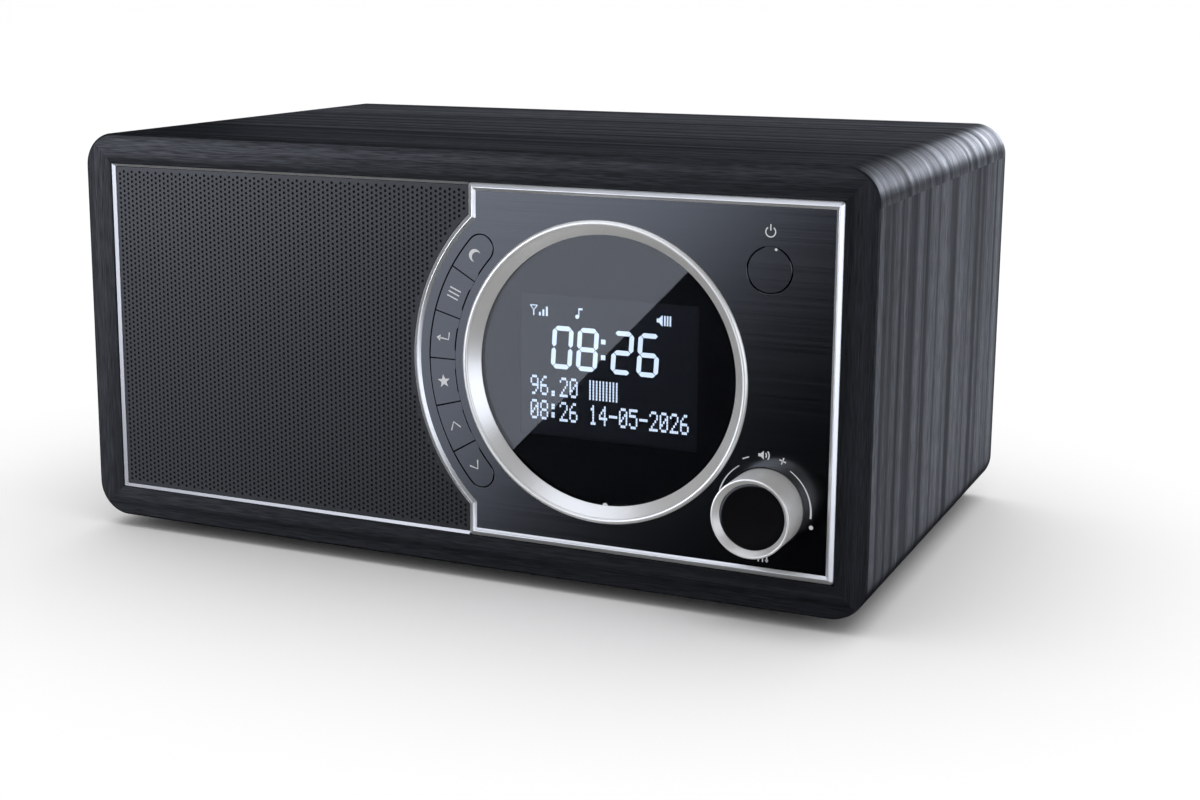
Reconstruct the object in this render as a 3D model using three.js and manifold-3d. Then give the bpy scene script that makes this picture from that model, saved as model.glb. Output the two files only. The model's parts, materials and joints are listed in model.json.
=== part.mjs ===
// A tabletop radio: a wood-wrapped box with a perforated speaker grille on the left and a raised metal
// control panel on the right, which carries a round display, six curved keys, a power key and a knob.
// Millimetres, X to the right, Y from front to back, Z up. Shapes are drawn from the middle of the
// cabinet's front bottom edge, and the last lines move the whole radio onto its own origin.
import * as THREE from "three";
import { mergeVertices } from "three/addons/utils/BufferGeometryUtils.js";
import Module from "manifold-3d";

const wasm = await Module();
wasm.setup();

// ---- driving dimensions -------------------------------------------------------------------------
const CABINET_WIDTH = 234;
const CABINET_HEIGHT = 113.2;
const CABINET_DEPTH = 145;
const WALL = 8.65;
const CORNER_RADIUS = 9.6;

const FOOT_HEIGHT = 3.8;
const FOOT_RADIUS = 7;
const FOOT_INSET = 20;

const FIT = 0.15; // gap around a panel that drops into an opening
const SEAT = 0.3; // gap under a piece that rests on a curved or turned one

const FRONT_STACK = 2; // depth of the baffle's front face behind the cabinet's front edge
const BAFFLE_THICKNESS = 3;
const BAFFLE_RIM_DEPTH = 9;
const BAFFLE_RIM_WALL = 2.5;
const TRIM_WIDTH = 0.8;
const TRIM_RECESS = 0.3;
const GRILLE_THICKNESS = 0.8;
const GRILLE_GAP = 0.4; // shadow gap between the grille and the panel's bezel

const PANEL_THICKNESS = 1.4;
const BULGE_HALF_ANGLE = THREE.MathUtils.degToRad(46); // of the panel's round left side, about the dial
const BEZEL_WIDTH = 2.05;
const BEZEL_RISE = 0.6;

const COLUMN_INSET = 18.6; // from the opening's right edge to the middle of the knob and power key
const RING_TO_COLUMN = 4.85; // from the display ring's edge to the line of the knob
const RING_OUTER_RADIUS = 39.9;
const RING_BEAD_WIDTH = 1.5;
const RING_BEAD_RISE = 0.8;
const RING_DISH_WIDTH = 2.6;
const RING_DISH_DEPTH = 2.6;
const RING_NECK_STEP = 0.8; // how far the bead overlaps the panel
const LENS_LIP = 1.8; // how far the lens reaches under the ring
const LENS_THICKNESS = 1.5;
const LENS_SEAT = 0.25; // from the dish's inner edge back to the lens
const LCD_GAP = 0.6; // between the lens and the display behind it
const LCD_CORNER_MARGIN = 3.4; // from the display's corners to the lens's edge
const LCD_ASPECT = 9 / 7;
const LCD_THICKNESS = 1.8;
const BACKLIGHT_THICKNESS = 3.2;

const KEY_COUNT = 6;
const KEY_PITCH = THREE.MathUtils.degToRad(15.3);
const KEY_WIDTH = 7.25;
const KEY_GAP = 0.3;
const KEY_STRIP_GAP = 2.6; // between the display ring and the keys
const KEY_STRIP_MARGIN = 4.95; // between the keys and the panel's curved edge
const KEY_CAP_THICKNESS = 2.4;
const KEY_STEM_RADIUS = 1.6;
const KEY_TRAVEL = 0.5;

const POWER_RADIUS = 5.65;
const POWER_FROM_TOP = 17.95;

const KNOB_RADIUS = 10.15;
const KNOB_GAP = 0.35;
const KNOB_PROTRUSION = 11.3; // in front of the control panel
const KNOB_SKIRT = 2; // how deep the knob's skirt reaches into the panel
const KNOB_WALL = 1.25;
const KNOB_RIM_WIDTH = 1.7;
const KNOB_DISH_DEPTH = 1.9;
const KNOB_CAP_THICKNESS = 0.6;
const KNOB_FROM_BOTTOM = 17.75;
const SHAFT_RADIUS = 3;
const SHAFT_FIT = 0.08;
const BUSHING_WALL = 0.6;
const ENCODER_SIZE = 12;
const ENCODER_GAP = 0.6; // behind the baffle

const BOARD_THICKNESS = 1.6;
const BOARD_STANDOFF = 7; // from the baffle's back to the control board
const BOARD_EDGE = 4; // from the baffle's rim to the control board
const BOARD_POST_RADIUS = 3;
const SWITCH_SIZE = 6;
const SWITCH_HEIGHT = 4;
const SWITCH_BUTTON_RADIUS = 1.7;
const SWITCH_BUTTON_HEIGHT = 0.5;
const SWITCH_CLEARANCE = 0.1; // between a stem pressed home and its switch

const SPEAKER_HOLE_RADIUS = 36;
const SPEAKER_FLANGE_WIDTH = 5;
const SPEAKER_DEPTH = 32;
const MAGNET_RADIUS = 22.5;
const COIL_RADIUS = 9.6;

const REAR_INSET = 1.5;
const REAR_THICKNESS = 2.5;
const REAR_FRAME_WIDTH = 10;
const SCREW_RADIUS = 1.25;
const SCREW_LENGTH = 9;
const SCREW_HEAD_RADIUS = 2.8;
const SCREW_HEAD_HEIGHT = 1.4;
const SCREW_INSET = 5;
const VENT_COUNT = 7;
const VENT_WIDTH = 2;
const VENT_HEIGHT = 20;
const VENT_PITCH = 5;

const MAIN_BOARD_WIDTH = 84;
const MAIN_BOARD_DEPTH = 55;
const MAIN_BOARD_HEIGHT = 15; // of its underside above the cabinet's floor
const BRACKET_WALL = 1.8;
const JACK_PITCH = 18;
const JACK_HEIGHT = 6; // of the sockets' axis above the board
const JACK_EDGE = 12; // from the board's right edge to the first socket
const JACK_WIDTH = 9;
const JACK_BARREL_RADIUS = 3.9;
const JACK_DEPTH = 9; // of a socket's bore
const POWER_PLUG = { bore: 2.85, pin: 0.95 };
const AUDIO_PLUG = { bore: 1.8, pin: 0 };
const SHIELD = { width: 32, depth: 26, height: 8, wall: 0.5, edge: 8 };
const RIBBON_WIDTH = 16;
const RIBBON_THICKNESS = 0.6;
const LEAD_RADIUS = 1.1;

const ANTENNA_FROM_FRAME = 4; // from the rear frame's inner edge to the antenna's base
const ANTENNA_TUBE_RADII = [2.7, 2.2, 1.75, 1.3];
const ANTENNA_TUBE_WALL = 0.35;
const ANTENNA_TUBE_LENGTH = 150;
const ANTENNA_STEP = 2; // how far each inner tube stands out of the one around it
const ANTENNA_ROD_RADIUS = 0.85;
const ANTENNA_BASE_RADIUS = 8;
const ANTENNA_BASE_HEIGHT = 1.4;
const SWIVEL_RADIUS = 6;
const SWIVEL_HEIGHT = 1.3;
const EAR_RADIUS = 2.9;
const EAR_THICKNESS = 1.4;
const TONGUE_THICKNESS = 3.4;
const HINGE_PIN_RADIUS = 1;
const SWIVEL_GAP = 0.2; // between the base and the turning plate

// ---- derived places -----------------------------------------------------------------------------
const OPENING_HALF_WIDTH = CABINET_WIDTH / 2 - WALL;
const OPENING_BOTTOM = WALL;
const OPENING_TOP = CABINET_HEIGHT - WALL;
const MIDDLE_HEIGHT = CABINET_HEIGHT / 2;

const BAFFLE_BACK = FRONT_STACK + BAFFLE_THICKNESS;
const PANEL_FACE = FRONT_STACK - PANEL_THICKNESS;
const COLUMN_X = OPENING_HALF_WIDTH - COLUMN_INSET;
const DIAL_X = COLUMN_X - RING_OUTER_RADIUS - RING_TO_COLUMN;
const DIAL = { x: DIAL_X, z: MIDDLE_HEIGHT };
const KNOB = { x: COLUMN_X, z: OPENING_BOTTOM + KNOB_FROM_BOTTOM };
const POWER = { x: COLUMN_X, z: OPENING_TOP - POWER_FROM_TOP };

const KEY_INNER_RADIUS = RING_OUTER_RADIUS + KEY_STRIP_GAP;
const KEY_OUTER_RADIUS = KEY_INNER_RADIUS + KEY_WIDTH;
const KEY_MIDDLE_RADIUS = (KEY_INNER_RADIUS + KEY_OUTER_RADIUS) / 2;
const KEY_STRIP_HALF_ANGLE = (KEY_COUNT * KEY_PITCH) / 2;
const BULGE_RADIUS = KEY_OUTER_RADIUS + KEY_STRIP_MARGIN;

const RING_NECK_RADIUS = RING_OUTER_RADIUS - RING_NECK_STEP;
const RING_CREST_RADIUS = RING_OUTER_RADIUS - RING_BEAD_WIDTH;
const RING_INNER_RADIUS = RING_CREST_RADIUS - RING_DISH_WIDTH;
const LENS_RADIUS = RING_INNER_RADIUS + LENS_LIP;
const LENS_FRONT = PANEL_FACE + RING_DISH_DEPTH + LENS_SEAT;
const LENS_BACK = LENS_FRONT + LENS_THICKNESS;
const LCD_HEIGHT = (2 * (LENS_RADIUS - LCD_CORNER_MARGIN)) / Math.hypot(1, LCD_ASPECT);
const LCD_WIDTH = LCD_HEIGHT * LCD_ASPECT;
const LCD_FRONT = LENS_BACK + LCD_GAP;
const LCD_BACK = LCD_FRONT + LCD_THICKNESS;

const CONTROL_BOARD_FRONT = BAFFLE_BACK + BOARD_STANDOFF;
const SWITCH_FRONT = CONTROL_BOARD_FRONT - SWITCH_HEIGHT;
const STEM_END = SWITCH_FRONT - SWITCH_BUTTON_HEIGHT - KEY_TRAVEL - SWITCH_CLEARANCE;
const KNOB_FRONT = PANEL_FACE - KNOB_PROTRUSION;
const KNOB_BACK = PANEL_FACE + KNOB_SKIRT;
const KNOB_CAP_FRONT = KNOB_FRONT + KNOB_DISH_DEPTH;
const KNOB_CAP_BACK = KNOB_CAP_FRONT + KNOB_CAP_THICKNESS;
const ENCODER_FRONT = BAFFLE_BACK + ENCODER_GAP;
const BUSHING_FRONT = PANEL_FACE + 0.4;
const SHAFT_FRONT = KNOB_CAP_BACK + 0.8;
const SHAFT_BACK = ENCODER_FRONT + 2.6;

const SPEAKER = { x: (DIAL_X - BULGE_RADIUS - OPENING_HALF_WIDTH) / 2, z: MIDDLE_HEIGHT };
const SPEAKER_FLANGE_RADIUS = SPEAKER_HOLE_RADIUS + SPEAKER_FLANGE_WIDTH;

const REAR_BACK = CABINET_DEPTH - REAR_INSET;
const REAR_FRONT = REAR_BACK - REAR_THICKNESS;
const MAIN_BOARD_BOTTOM = OPENING_BOTTOM + MAIN_BOARD_HEIGHT;
const MAIN_BOARD_TOP = MAIN_BOARD_BOTTOM + BOARD_THICKNESS;
const MAIN_BOARD_BACK = REAR_FRONT - REAR_FRAME_WIDTH - 1;
const MAIN_BOARD_RIGHT = OPENING_HALF_WIDTH - REAR_FRAME_WIDTH - 2;
const JACK_Z = MAIN_BOARD_TOP + JACK_HEIGHT;

const ANTENNA_INSET = REAR_FRAME_WIDTH + ANTENNA_FROM_FRAME;
const ANTENNA = { x: OPENING_HALF_WIDTH - ANTENNA_INSET, z: OPENING_TOP - ANTENNA_INSET };
const SWIVEL_FRONT = REAR_BACK + ANTENNA_BASE_HEIGHT + SWIVEL_GAP;
const SWIVEL_BACK = SWIVEL_FRONT + SWIVEL_HEIGHT;
const KNUCKLE_RADIUS = EAR_RADIUS - 0.2;
const HINGE_Y = SWIVEL_BACK + Math.max(ANTENNA_TUBE_RADII[0], KNUCKLE_RADIUS) + 0.3;
const TUBE_START = EAR_RADIUS + 0.9;
const ANTENNA_BACK = HINGE_Y + EAR_RADIUS;

// ---- shapes and solids --------------------------------------------------------------------------
const ROUND = 40;
const SMALL_ROUND = 16;

// The closed mesh of a three.js geometry as a solid that can be cut and joined.
function solid(geometry) {
  const bare = geometry.clone();
  bare.deleteAttribute("normal");
  bare.deleteAttribute("uv");
  const merged = mergeVertices(bare, 1e-4);
  const vertProperties = new Float32Array(merged.attributes.position.array);
  const triVerts = new Uint32Array(merged.index.array);
  return new wasm.Manifold(new wasm.Mesh({ numProp: 3, vertProperties, triVerts }));
}

function geometryOf(manifold) {
  const mesh = manifold.getMesh();
  const geometry = new THREE.BufferGeometry();
  geometry.setAttribute("position", new THREE.BufferAttribute(mesh.vertProperties, 3));
  geometry.setIndex(new THREE.BufferAttribute(mesh.triVerts, 1));
  geometry.computeVertexNormals();
  return geometry;
}

function joined(...geometries) {
  const [first, ...others] = geometries.map(solid);
  return geometryOf(others.reduce((sum, other) => sum.add(other), first));
}

function cut(base, ...tools) {
  return geometryOf(tools.map(solid).reduce((rest, tool) => rest.subtract(tool), solid(base)));
}

// A slab with its outline drawn in X and Z, from its front face back.
function slab(outline, front, thickness, curveSegments = 12) {
  const options = { depth: thickness, bevelEnabled: false, curveSegments };
  return new THREE.ExtrudeGeometry(outline, options)
    .rotateX(Math.PI / 2)
    .translate(0, front + thickness, 0);
}

// A bar with its section drawn in Y and Z, from its left end to the right.
function bar(section, left, length) {
  const turn = new THREE.Matrix4().makeBasis(
    new THREE.Vector3(0, 1, 0),
    new THREE.Vector3(0, 0, 1),
    new THREE.Vector3(1, 0, 0),
  );
  return new THREE.ExtrudeGeometry(section, { depth: length, bevelEnabled: false })
    .applyMatrix4(turn)
    .translate(left, 0, 0);
}

// A piece turned about a front-to-back axis at (x, z), from [radius, y] points.
function turned(profile, centre, segments = ROUND) {
  const points = profile.map(([radius, y]) => new THREE.Vector2(radius, y));
  if (THREE.ShapeUtils.area(points) < 0) points.reverse();
  if (profile[0][0] > 0 || profile.at(-1)[0] > 0) points.push(points[0].clone());
  return new THREE.LatheGeometry(points, segments).translate(centre.x, 0, centre.z);
}

function disc(radius, front, back, centre, segments = ROUND) {
  return turned([[0, front], [radius, front], [radius, back], [0, back]], centre, segments);
}

function box(left, right, front, back, bottom, top) {
  return new THREE.BoxGeometry(right - left, back - front, top - bottom)
    .translate((left + right) / 2, (front + back) / 2, (bottom + top) / 2);
}

function roundedRectangle(left, right, bottom, top, radius) {
  const shape = new THREE.Shape();
  shape.moveTo(left + radius, bottom);
  shape.absarc(right - radius, bottom + radius, radius, -Math.PI / 2, 0, false);
  shape.absarc(right - radius, top - radius, radius, 0, Math.PI / 2, false);
  shape.absarc(left + radius, top - radius, radius, Math.PI / 2, Math.PI, false);
  shape.absarc(left + radius, bottom + radius, radius, Math.PI, 1.5 * Math.PI, false);
  shape.closePath();
  return shape;
}

// The cabinet's front or back opening, made smaller all round by an inset.
function openingOutline(inset) {
  const halfWidth = OPENING_HALF_WIDTH - inset;
  const shape = new THREE.Shape();
  shape.moveTo(-halfWidth, OPENING_BOTTOM + inset);
  shape.lineTo(halfWidth, OPENING_BOTTOM + inset);
  shape.lineTo(halfWidth, OPENING_TOP - inset);
  shape.lineTo(-halfWidth, OPENING_TOP - inset);
  shape.closePath();
  return shape;
}

// The control panel's outline: a rectangle whose left side bulges out round the dial.
function panelOutline(inset) {
  const left = DIAL_X - BULGE_RADIUS * Math.cos(BULGE_HALF_ANGLE) + inset;
  const right = OPENING_HALF_WIDTH - FIT - inset;
  const bottom = OPENING_BOTTOM + FIT + inset;
  const top = OPENING_TOP - FIT - inset;
  const bulge = BULGE_RADIUS - inset;
  const turn = Math.acos((DIAL_X - left) / bulge);
  const shape = new THREE.Shape();
  shape.moveTo(left, bottom);
  shape.lineTo(right, bottom);
  shape.lineTo(right, top);
  shape.lineTo(left, top);
  shape.absarc(DIAL.x, DIAL.z, bulge, Math.PI - turn, Math.PI + turn, false);
  shape.closePath();
  return shape;
}

function onDial(radius, angle) {
  return { x: DIAL.x + radius * Math.cos(angle), z: DIAL.z + radius * Math.sin(angle) };
}

// A stretch of the curved key strip between two angles, with round ends where they are asked for.
function stripOutline(start, end, grow, roundStart, roundEnd) {
  const inner = KEY_INNER_RADIUS - grow;
  const outer = KEY_OUTER_RADIUS + grow;
  const half = (outer - inner) / 2;
  const roundTurn = half / KEY_MIDDLE_RADIUS;
  const growTurn = grow / KEY_MIDDLE_RADIUS;
  const from = start - growTurn + (roundStart ? roundTurn : 0);
  const to = end + growTurn - (roundEnd ? roundTurn : 0);
  const shape = new THREE.Shape();
  shape.absarc(DIAL.x, DIAL.z, outer, from, to, false);
  if (roundEnd) {
    const tip = onDial(KEY_MIDDLE_RADIUS, to);
    shape.absarc(tip.x, tip.z, half, to, to + Math.PI, false);
  }
  shape.absarc(DIAL.x, DIAL.z, inner, to, from, true);
  if (roundStart) {
    const tip = onDial(KEY_MIDDLE_RADIUS, from);
    shape.absarc(tip.x, tip.z, half, from + Math.PI, from + 2 * Math.PI, false);
  }
  shape.closePath();
  return shape;
}

// The middle angle of a key, counted from the top of the strip down.
function keyAngle(index) {
  return Math.PI - KEY_STRIP_HALF_ANGLE + (index + 0.5) * KEY_PITCH;
}

// ---- cabinet and front --------------------------------------------------------------------------
function cabinet() {
  const halfWidth = CABINET_WIDTH / 2;
  const outline = roundedRectangle(-halfWidth, halfWidth, 0, CABINET_HEIGHT, CORNER_RADIUS);
  outline.holes.push(openingOutline(0));
  return slab(outline, 0, CABINET_DEPTH, 6);
}

function foot(x, y) {
  return new THREE.CylinderGeometry(FOOT_RADIUS, FOOT_RADIUS - 0.6, FOOT_HEIGHT, SMALL_ROUND)
    .rotateX(Math.PI / 2)
    .translate(x, y, -FOOT_HEIGHT / 2);
}

// What the control panel and its shadow gap take out of the pieces round the grille.
function panelSideCutters(gap) {
  const front = -1;
  const back = FRONT_STACK + 1;
  const rightHalf = box(
    DIAL_X, OPENING_HALF_WIDTH + 1, front, back, OPENING_BOTTOM - 1, OPENING_TOP + 1);
  return [slab(panelOutline(-gap), front, back - front), rightHalf];
}

// A strip round the grille: left side, and top and bottom as far as the control panel.
function frontTrim() {
  const outline = openingOutline(0);
  outline.holes.push(openingOutline(TRIM_WIDTH));
  const strip = slab(outline, TRIM_RECESS, FRONT_STACK - TRIM_RECESS);
  return cut(strip, ...panelSideCutters(FIT));
}

function speakerGrille() {
  const front = FRONT_STACK - GRILLE_THICKNESS;
  const sheet = slab(openingOutline(TRIM_WIDTH + FIT), front, GRILLE_THICKNESS);
  return cut(sheet, ...panelSideCutters(GRILLE_GAP));
}

function keyStripHole(grow, front, thickness) {
  const start = Math.PI - KEY_STRIP_HALF_ANGLE;
  const end = Math.PI + KEY_STRIP_HALF_ANGLE;
  return slab(stripOutline(start, end, grow, true, true), front, thickness, 10);
}

function controlPanel() {
  const plate = slab(panelOutline(BEZEL_WIDTH), PANEL_FACE, PANEL_THICKNESS);
  const front = PANEL_FACE - 1;
  const back = FRONT_STACK + 1;
  return cut(
    plate,
    keyStripHole(KEY_GAP, front, back - front),
    disc(RING_NECK_RADIUS + FIT, front, back, DIAL),
    disc(POWER_RADIUS + KEY_GAP, front, back, POWER, 32),
    disc(KNOB_RADIUS + KNOB_GAP, front, back, KNOB, 32),
  );
}

function panelBezel() {
  const outline = panelOutline(0);
  outline.holes.push(panelOutline(BEZEL_WIDTH));
  const front = PANEL_FACE - BEZEL_RISE;
  return slab(outline, front, FRONT_STACK - front);
}

function frontBaffle() {
  const plate = slab(openingOutline(FIT), FRONT_STACK, BAFFLE_THICKNESS);
  const rimOutline = openingOutline(FIT);
  rimOutline.holes.push(openingOutline(FIT + BAFFLE_RIM_WALL));
  const rim = slab(rimOutline, BAFFLE_BACK - 0.5, BAFFLE_RIM_DEPTH + 0.5);
  const posts = boardCorners().map((corner) =>
    disc(BOARD_POST_RADIUS, BAFFLE_BACK - 0.5, CONTROL_BOARD_FRONT, corner, 12));
  const front = FRONT_STACK - 1;
  const back = BAFFLE_BACK + 1;
  return cut(
    joined(plate, rim, ...posts),
    disc(SPEAKER_HOLE_RADIUS, front, back, SPEAKER),
    disc(RING_NECK_RADIUS + FIT, front, back, DIAL),
    keyStripHole(KEY_GAP, front, back - front),
    disc(POWER_RADIUS + KEY_GAP, front, back, POWER, 32),
    disc(KNOB_RADIUS + KNOB_GAP, front, back, KNOB, 32),
  );
}

// ---- display ------------------------------------------------------------------------------------
function displayRing() {
  const crest = PANEL_FACE - RING_BEAD_RISE;
  const dishFront = PANEL_FACE - 0.2;
  const dishBack = PANEL_FACE + RING_DISH_DEPTH;
  return turned([
    [RING_OUTER_RADIUS, PANEL_FACE],
    [RING_OUTER_RADIUS, PANEL_FACE - 0.4],
    [RING_OUTER_RADIUS - 0.4, crest],
    [RING_OUTER_RADIUS - 1, crest],
    [RING_CREST_RADIUS, dishFront],
    [RING_INNER_RADIUS, dishBack],
    [RING_INNER_RADIUS, LENS_FRONT],
    [LENS_RADIUS + 0.1, LENS_FRONT],
    [LENS_RADIUS + 0.1, LENS_BACK],
    [RING_NECK_RADIUS, LENS_BACK],
    [RING_NECK_RADIUS, PANEL_FACE],
  ], DIAL, 48);
}

function displayLens() {
  return disc(LENS_RADIUS, LENS_FRONT, LENS_BACK, DIAL, 48);
}

function lcdLayer(front, thickness, margin) {
  const halfWidth = LCD_WIDTH / 2 + margin;
  const halfHeight = LCD_HEIGHT / 2 + margin;
  return box(
    DIAL.x - halfWidth, DIAL.x + halfWidth, front, front + thickness,
    DIAL.z - halfHeight, DIAL.z + halfHeight);
}

// ---- keys, power key and knob -------------------------------------------------------------------
function key(index) {
  const middle = keyAngle(index);
  const first = index === 0;
  const last = index === KEY_COUNT - 1;
  const halfGap = KEY_GAP / 2 / KEY_MIDDLE_RADIUS;
  const start = middle - KEY_PITCH / 2 + (first ? 0 : halfGap);
  const end = middle + KEY_PITCH / 2 - (last ? 0 : halfGap);
  const cap = slab(stripOutline(start, end, 0, first, last), PANEL_FACE, KEY_CAP_THICKNESS, 3);
  const stemFront = PANEL_FACE + KEY_CAP_THICKNESS / 2;
  const stem = disc(KEY_STEM_RADIUS, stemFront, STEM_END, onDial(KEY_MIDDLE_RADIUS, middle), 12);
  return joined(cap, stem);
}

function powerButton() {
  const capBack = PANEL_FACE + KEY_CAP_THICKNESS;
  return turned([
    [0, PANEL_FACE],
    [POWER_RADIUS, PANEL_FACE],
    [POWER_RADIUS, capBack],
    [KEY_STEM_RADIUS, capBack],
    [KEY_STEM_RADIUS, STEM_END],
    [0, STEM_END],
  ], POWER, 32);
}

function knobBody() {
  const webBack = KNOB_CAP_BACK + 0.6;
  const hubRadius = SHAFT_RADIUS + 1.6;
  const inner = KNOB_RADIUS - KNOB_WALL;
  const dishRadius = KNOB_RADIUS - KNOB_RIM_WIDTH;
  return turned([
    [0, KNOB_CAP_BACK],
    [dishRadius, KNOB_CAP_BACK],
    [dishRadius, KNOB_CAP_FRONT],
    [KNOB_RADIUS - 0.5, KNOB_FRONT],
    [KNOB_RADIUS - 0.3, KNOB_FRONT],
    [KNOB_RADIUS, KNOB_FRONT + 0.3],
    [KNOB_RADIUS, KNOB_BACK],
    [inner, KNOB_BACK],
    [inner, webBack + 1.2],
    [hubRadius, webBack + 1.2],
    [hubRadius, BUSHING_FRONT - 1.1],
    [SHAFT_RADIUS + SHAFT_FIT, BUSHING_FRONT - 1.1],
    [SHAFT_RADIUS + SHAFT_FIT, webBack],
    [0, webBack],
  ], KNOB, 32);
}

function knobCap() {
  return disc(KNOB_RADIUS - KNOB_RIM_WIDTH - 0.05, KNOB_CAP_FRONT, KNOB_CAP_BACK, KNOB, 32);
}

function encoderBody() {
  const half = ENCODER_SIZE / 2;
  const body = box(
    KNOB.x - half, KNOB.x + half, ENCODER_FRONT, CONTROL_BOARD_FRONT, KNOB.z - half, KNOB.z + half);
  const bushingRadius = SHAFT_RADIUS + BUSHING_WALL;
  const bushing = disc(bushingRadius, BUSHING_FRONT, ENCODER_FRONT + 0.5, KNOB, SMALL_ROUND);
  const bore = disc(SHAFT_RADIUS + SHAFT_FIT, BUSHING_FRONT - 1, SHAFT_BACK + 2.4, KNOB, SMALL_ROUND);
  return cut(joined(body, bushing), bore);
}

function encoderShaft() {
  return disc(SHAFT_RADIUS, SHAFT_FRONT, SHAFT_BACK, KNOB, SMALL_ROUND);
}

function encoderPlunger() {
  return disc(SHAFT_RADIUS - 0.2, SHAFT_BACK + 0.1, SHAFT_BACK + 1.3, KNOB, SMALL_ROUND);
}

// ---- control board ------------------------------------------------------------------------------
function boardEdges() {
  return {
    left: DIAL.x - KEY_OUTER_RADIUS,
    right: OPENING_HALF_WIDTH - BAFFLE_RIM_WALL - BOARD_EDGE,
    bottom: OPENING_BOTTOM + BAFFLE_RIM_WALL + BOARD_EDGE,
    top: OPENING_TOP - BAFFLE_RIM_WALL - BOARD_EDGE,
  };
}

function boardCorners() {
  const edges = boardEdges();
  const inset = BOARD_POST_RADIUS;
  return [edges.left + inset, edges.right - inset].flatMap((x) =>
    [edges.bottom + inset, edges.top - inset].map((z) => ({ x, z })));
}

function controlBoard() {
  const edges = boardEdges();
  return box(
    edges.left, edges.right, CONTROL_BOARD_FRONT, CONTROL_BOARD_FRONT + BOARD_THICKNESS,
    edges.bottom, edges.top);
}

function tactSwitch(centre) {
  const half = SWITCH_SIZE / 2;
  const body = box(
    centre.x - half, centre.x + half, SWITCH_FRONT, CONTROL_BOARD_FRONT,
    centre.z - half, centre.z + half);
  const tip = SWITCH_FRONT - SWITCH_BUTTON_HEIGHT;
  return joined(body, disc(SWITCH_BUTTON_RADIUS, tip, SWITCH_FRONT + 0.5, centre, 12));
}

// ---- loudspeaker --------------------------------------------------------------------------------
function speakerBasket() {
  const ledge = SPEAKER_HOLE_RADIUS - 0.4;
  const rear = BAFFLE_BACK + 19;
  return turned([
    [SPEAKER_FLANGE_RADIUS, BAFFLE_BACK],
    [SPEAKER_FLANGE_RADIUS, BAFFLE_BACK + 2],
    [ledge + 0.8, BAFFLE_BACK + 3.2],
    [MAGNET_RADIUS, rear - 1.5],
    [MAGNET_RADIUS, rear],
    [COIL_RADIUS + 2.4, rear],
    [COIL_RADIUS + 2.4, rear - 1.5],
    [MAGNET_RADIUS - 1.5, rear - 1.5],
    [ledge - 2, BAFFLE_BACK + 3.4],
    [ledge - 2, BAFFLE_BACK + 2.2],
    [ledge, BAFFLE_BACK + 2.2],
    [ledge, BAFFLE_BACK],
  ], SPEAKER, 32);
}

// The cone with its half-roll surround and the coil former on its back.
function speakerCone() {
  const rim = SPEAKER_HOLE_RADIUS - 0.5;
  const seat = BAFFLE_BACK + 2.1;
  const rollInner = rim - 6;
  const neck = BAFFLE_BACK + 12.5;
  return turned([
    [rim, seat],
    [rim, seat - 0.8],
    [rim - 1.6, seat - 0.8],
    [rim - 3.6, seat - 3],
    [rollInner, seat - 0.8],
    [COIL_RADIUS, neck - 0.8],
    [COIL_RADIUS, neck + 5],
    [COIL_RADIUS + 0.6, neck + 5],
    [COIL_RADIUS + 0.6, neck],
    [rollInner, seat],
    [rim - 3.6, seat - 2.2],
    [rim - 1.6, seat],
  ], SPEAKER, 32);
}

function dustCap() {
  const edge = COIL_RADIUS - 0.3;
  const base = BAFFLE_BACK + 11.4;
  return turned([
    [0, base - 3.4],
    [edge * 0.55, base - 2.8],
    [edge * 0.85, base - 1.5],
    [edge, base],
    [edge - 0.7, base + 0.3],
    [edge * 0.8, base - 0.8],
    [edge * 0.5, base - 2],
    [0, base - 2.6],
  ], SPEAKER, 24);
}

function speakerMagnet() {
  const plate = BAFFLE_BACK + 19.2;
  const pole = COIL_RADIUS - 0.8;
  return turned([
    [0, plate - 5],
    [pole, plate - 5],
    [pole, plate],
    [MAGNET_RADIUS, plate],
    [MAGNET_RADIUS, BAFFLE_BACK + SPEAKER_DEPTH],
    [0, BAFFLE_BACK + SPEAKER_DEPTH],
  ], SPEAKER, 32);
}

// ---- back of the radio --------------------------------------------------------------------------
function screwPlaces() {
  const x = OPENING_HALF_WIDTH - SCREW_INSET;
  return [
    { x: -x, z: OPENING_BOTTOM + SCREW_INSET },
    { x, z: OPENING_BOTTOM + SCREW_INSET },
    { x: -x, z: OPENING_TOP - SCREW_INSET },
    { x, z: OPENING_TOP - SCREW_INSET },
  ];
}

function jackPlace(index) {
  return { x: MAIN_BOARD_RIGHT - JACK_EDGE - index * JACK_PITCH, z: JACK_Z };
}

function rearFrame() {
  const outline = openingOutline(0);
  outline.holes.push(openingOutline(REAR_FRAME_WIDTH));
  const frame = slab(outline, REAR_FRONT - REAR_FRAME_WIDTH, REAR_FRAME_WIDTH);
  const holes = screwPlaces().map((place) =>
    disc(SCREW_RADIUS + 0.05, REAR_FRONT - SCREW_LENGTH - 0.5, REAR_FRONT + 1, place, 12));
  return cut(frame, ...holes);
}

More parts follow.
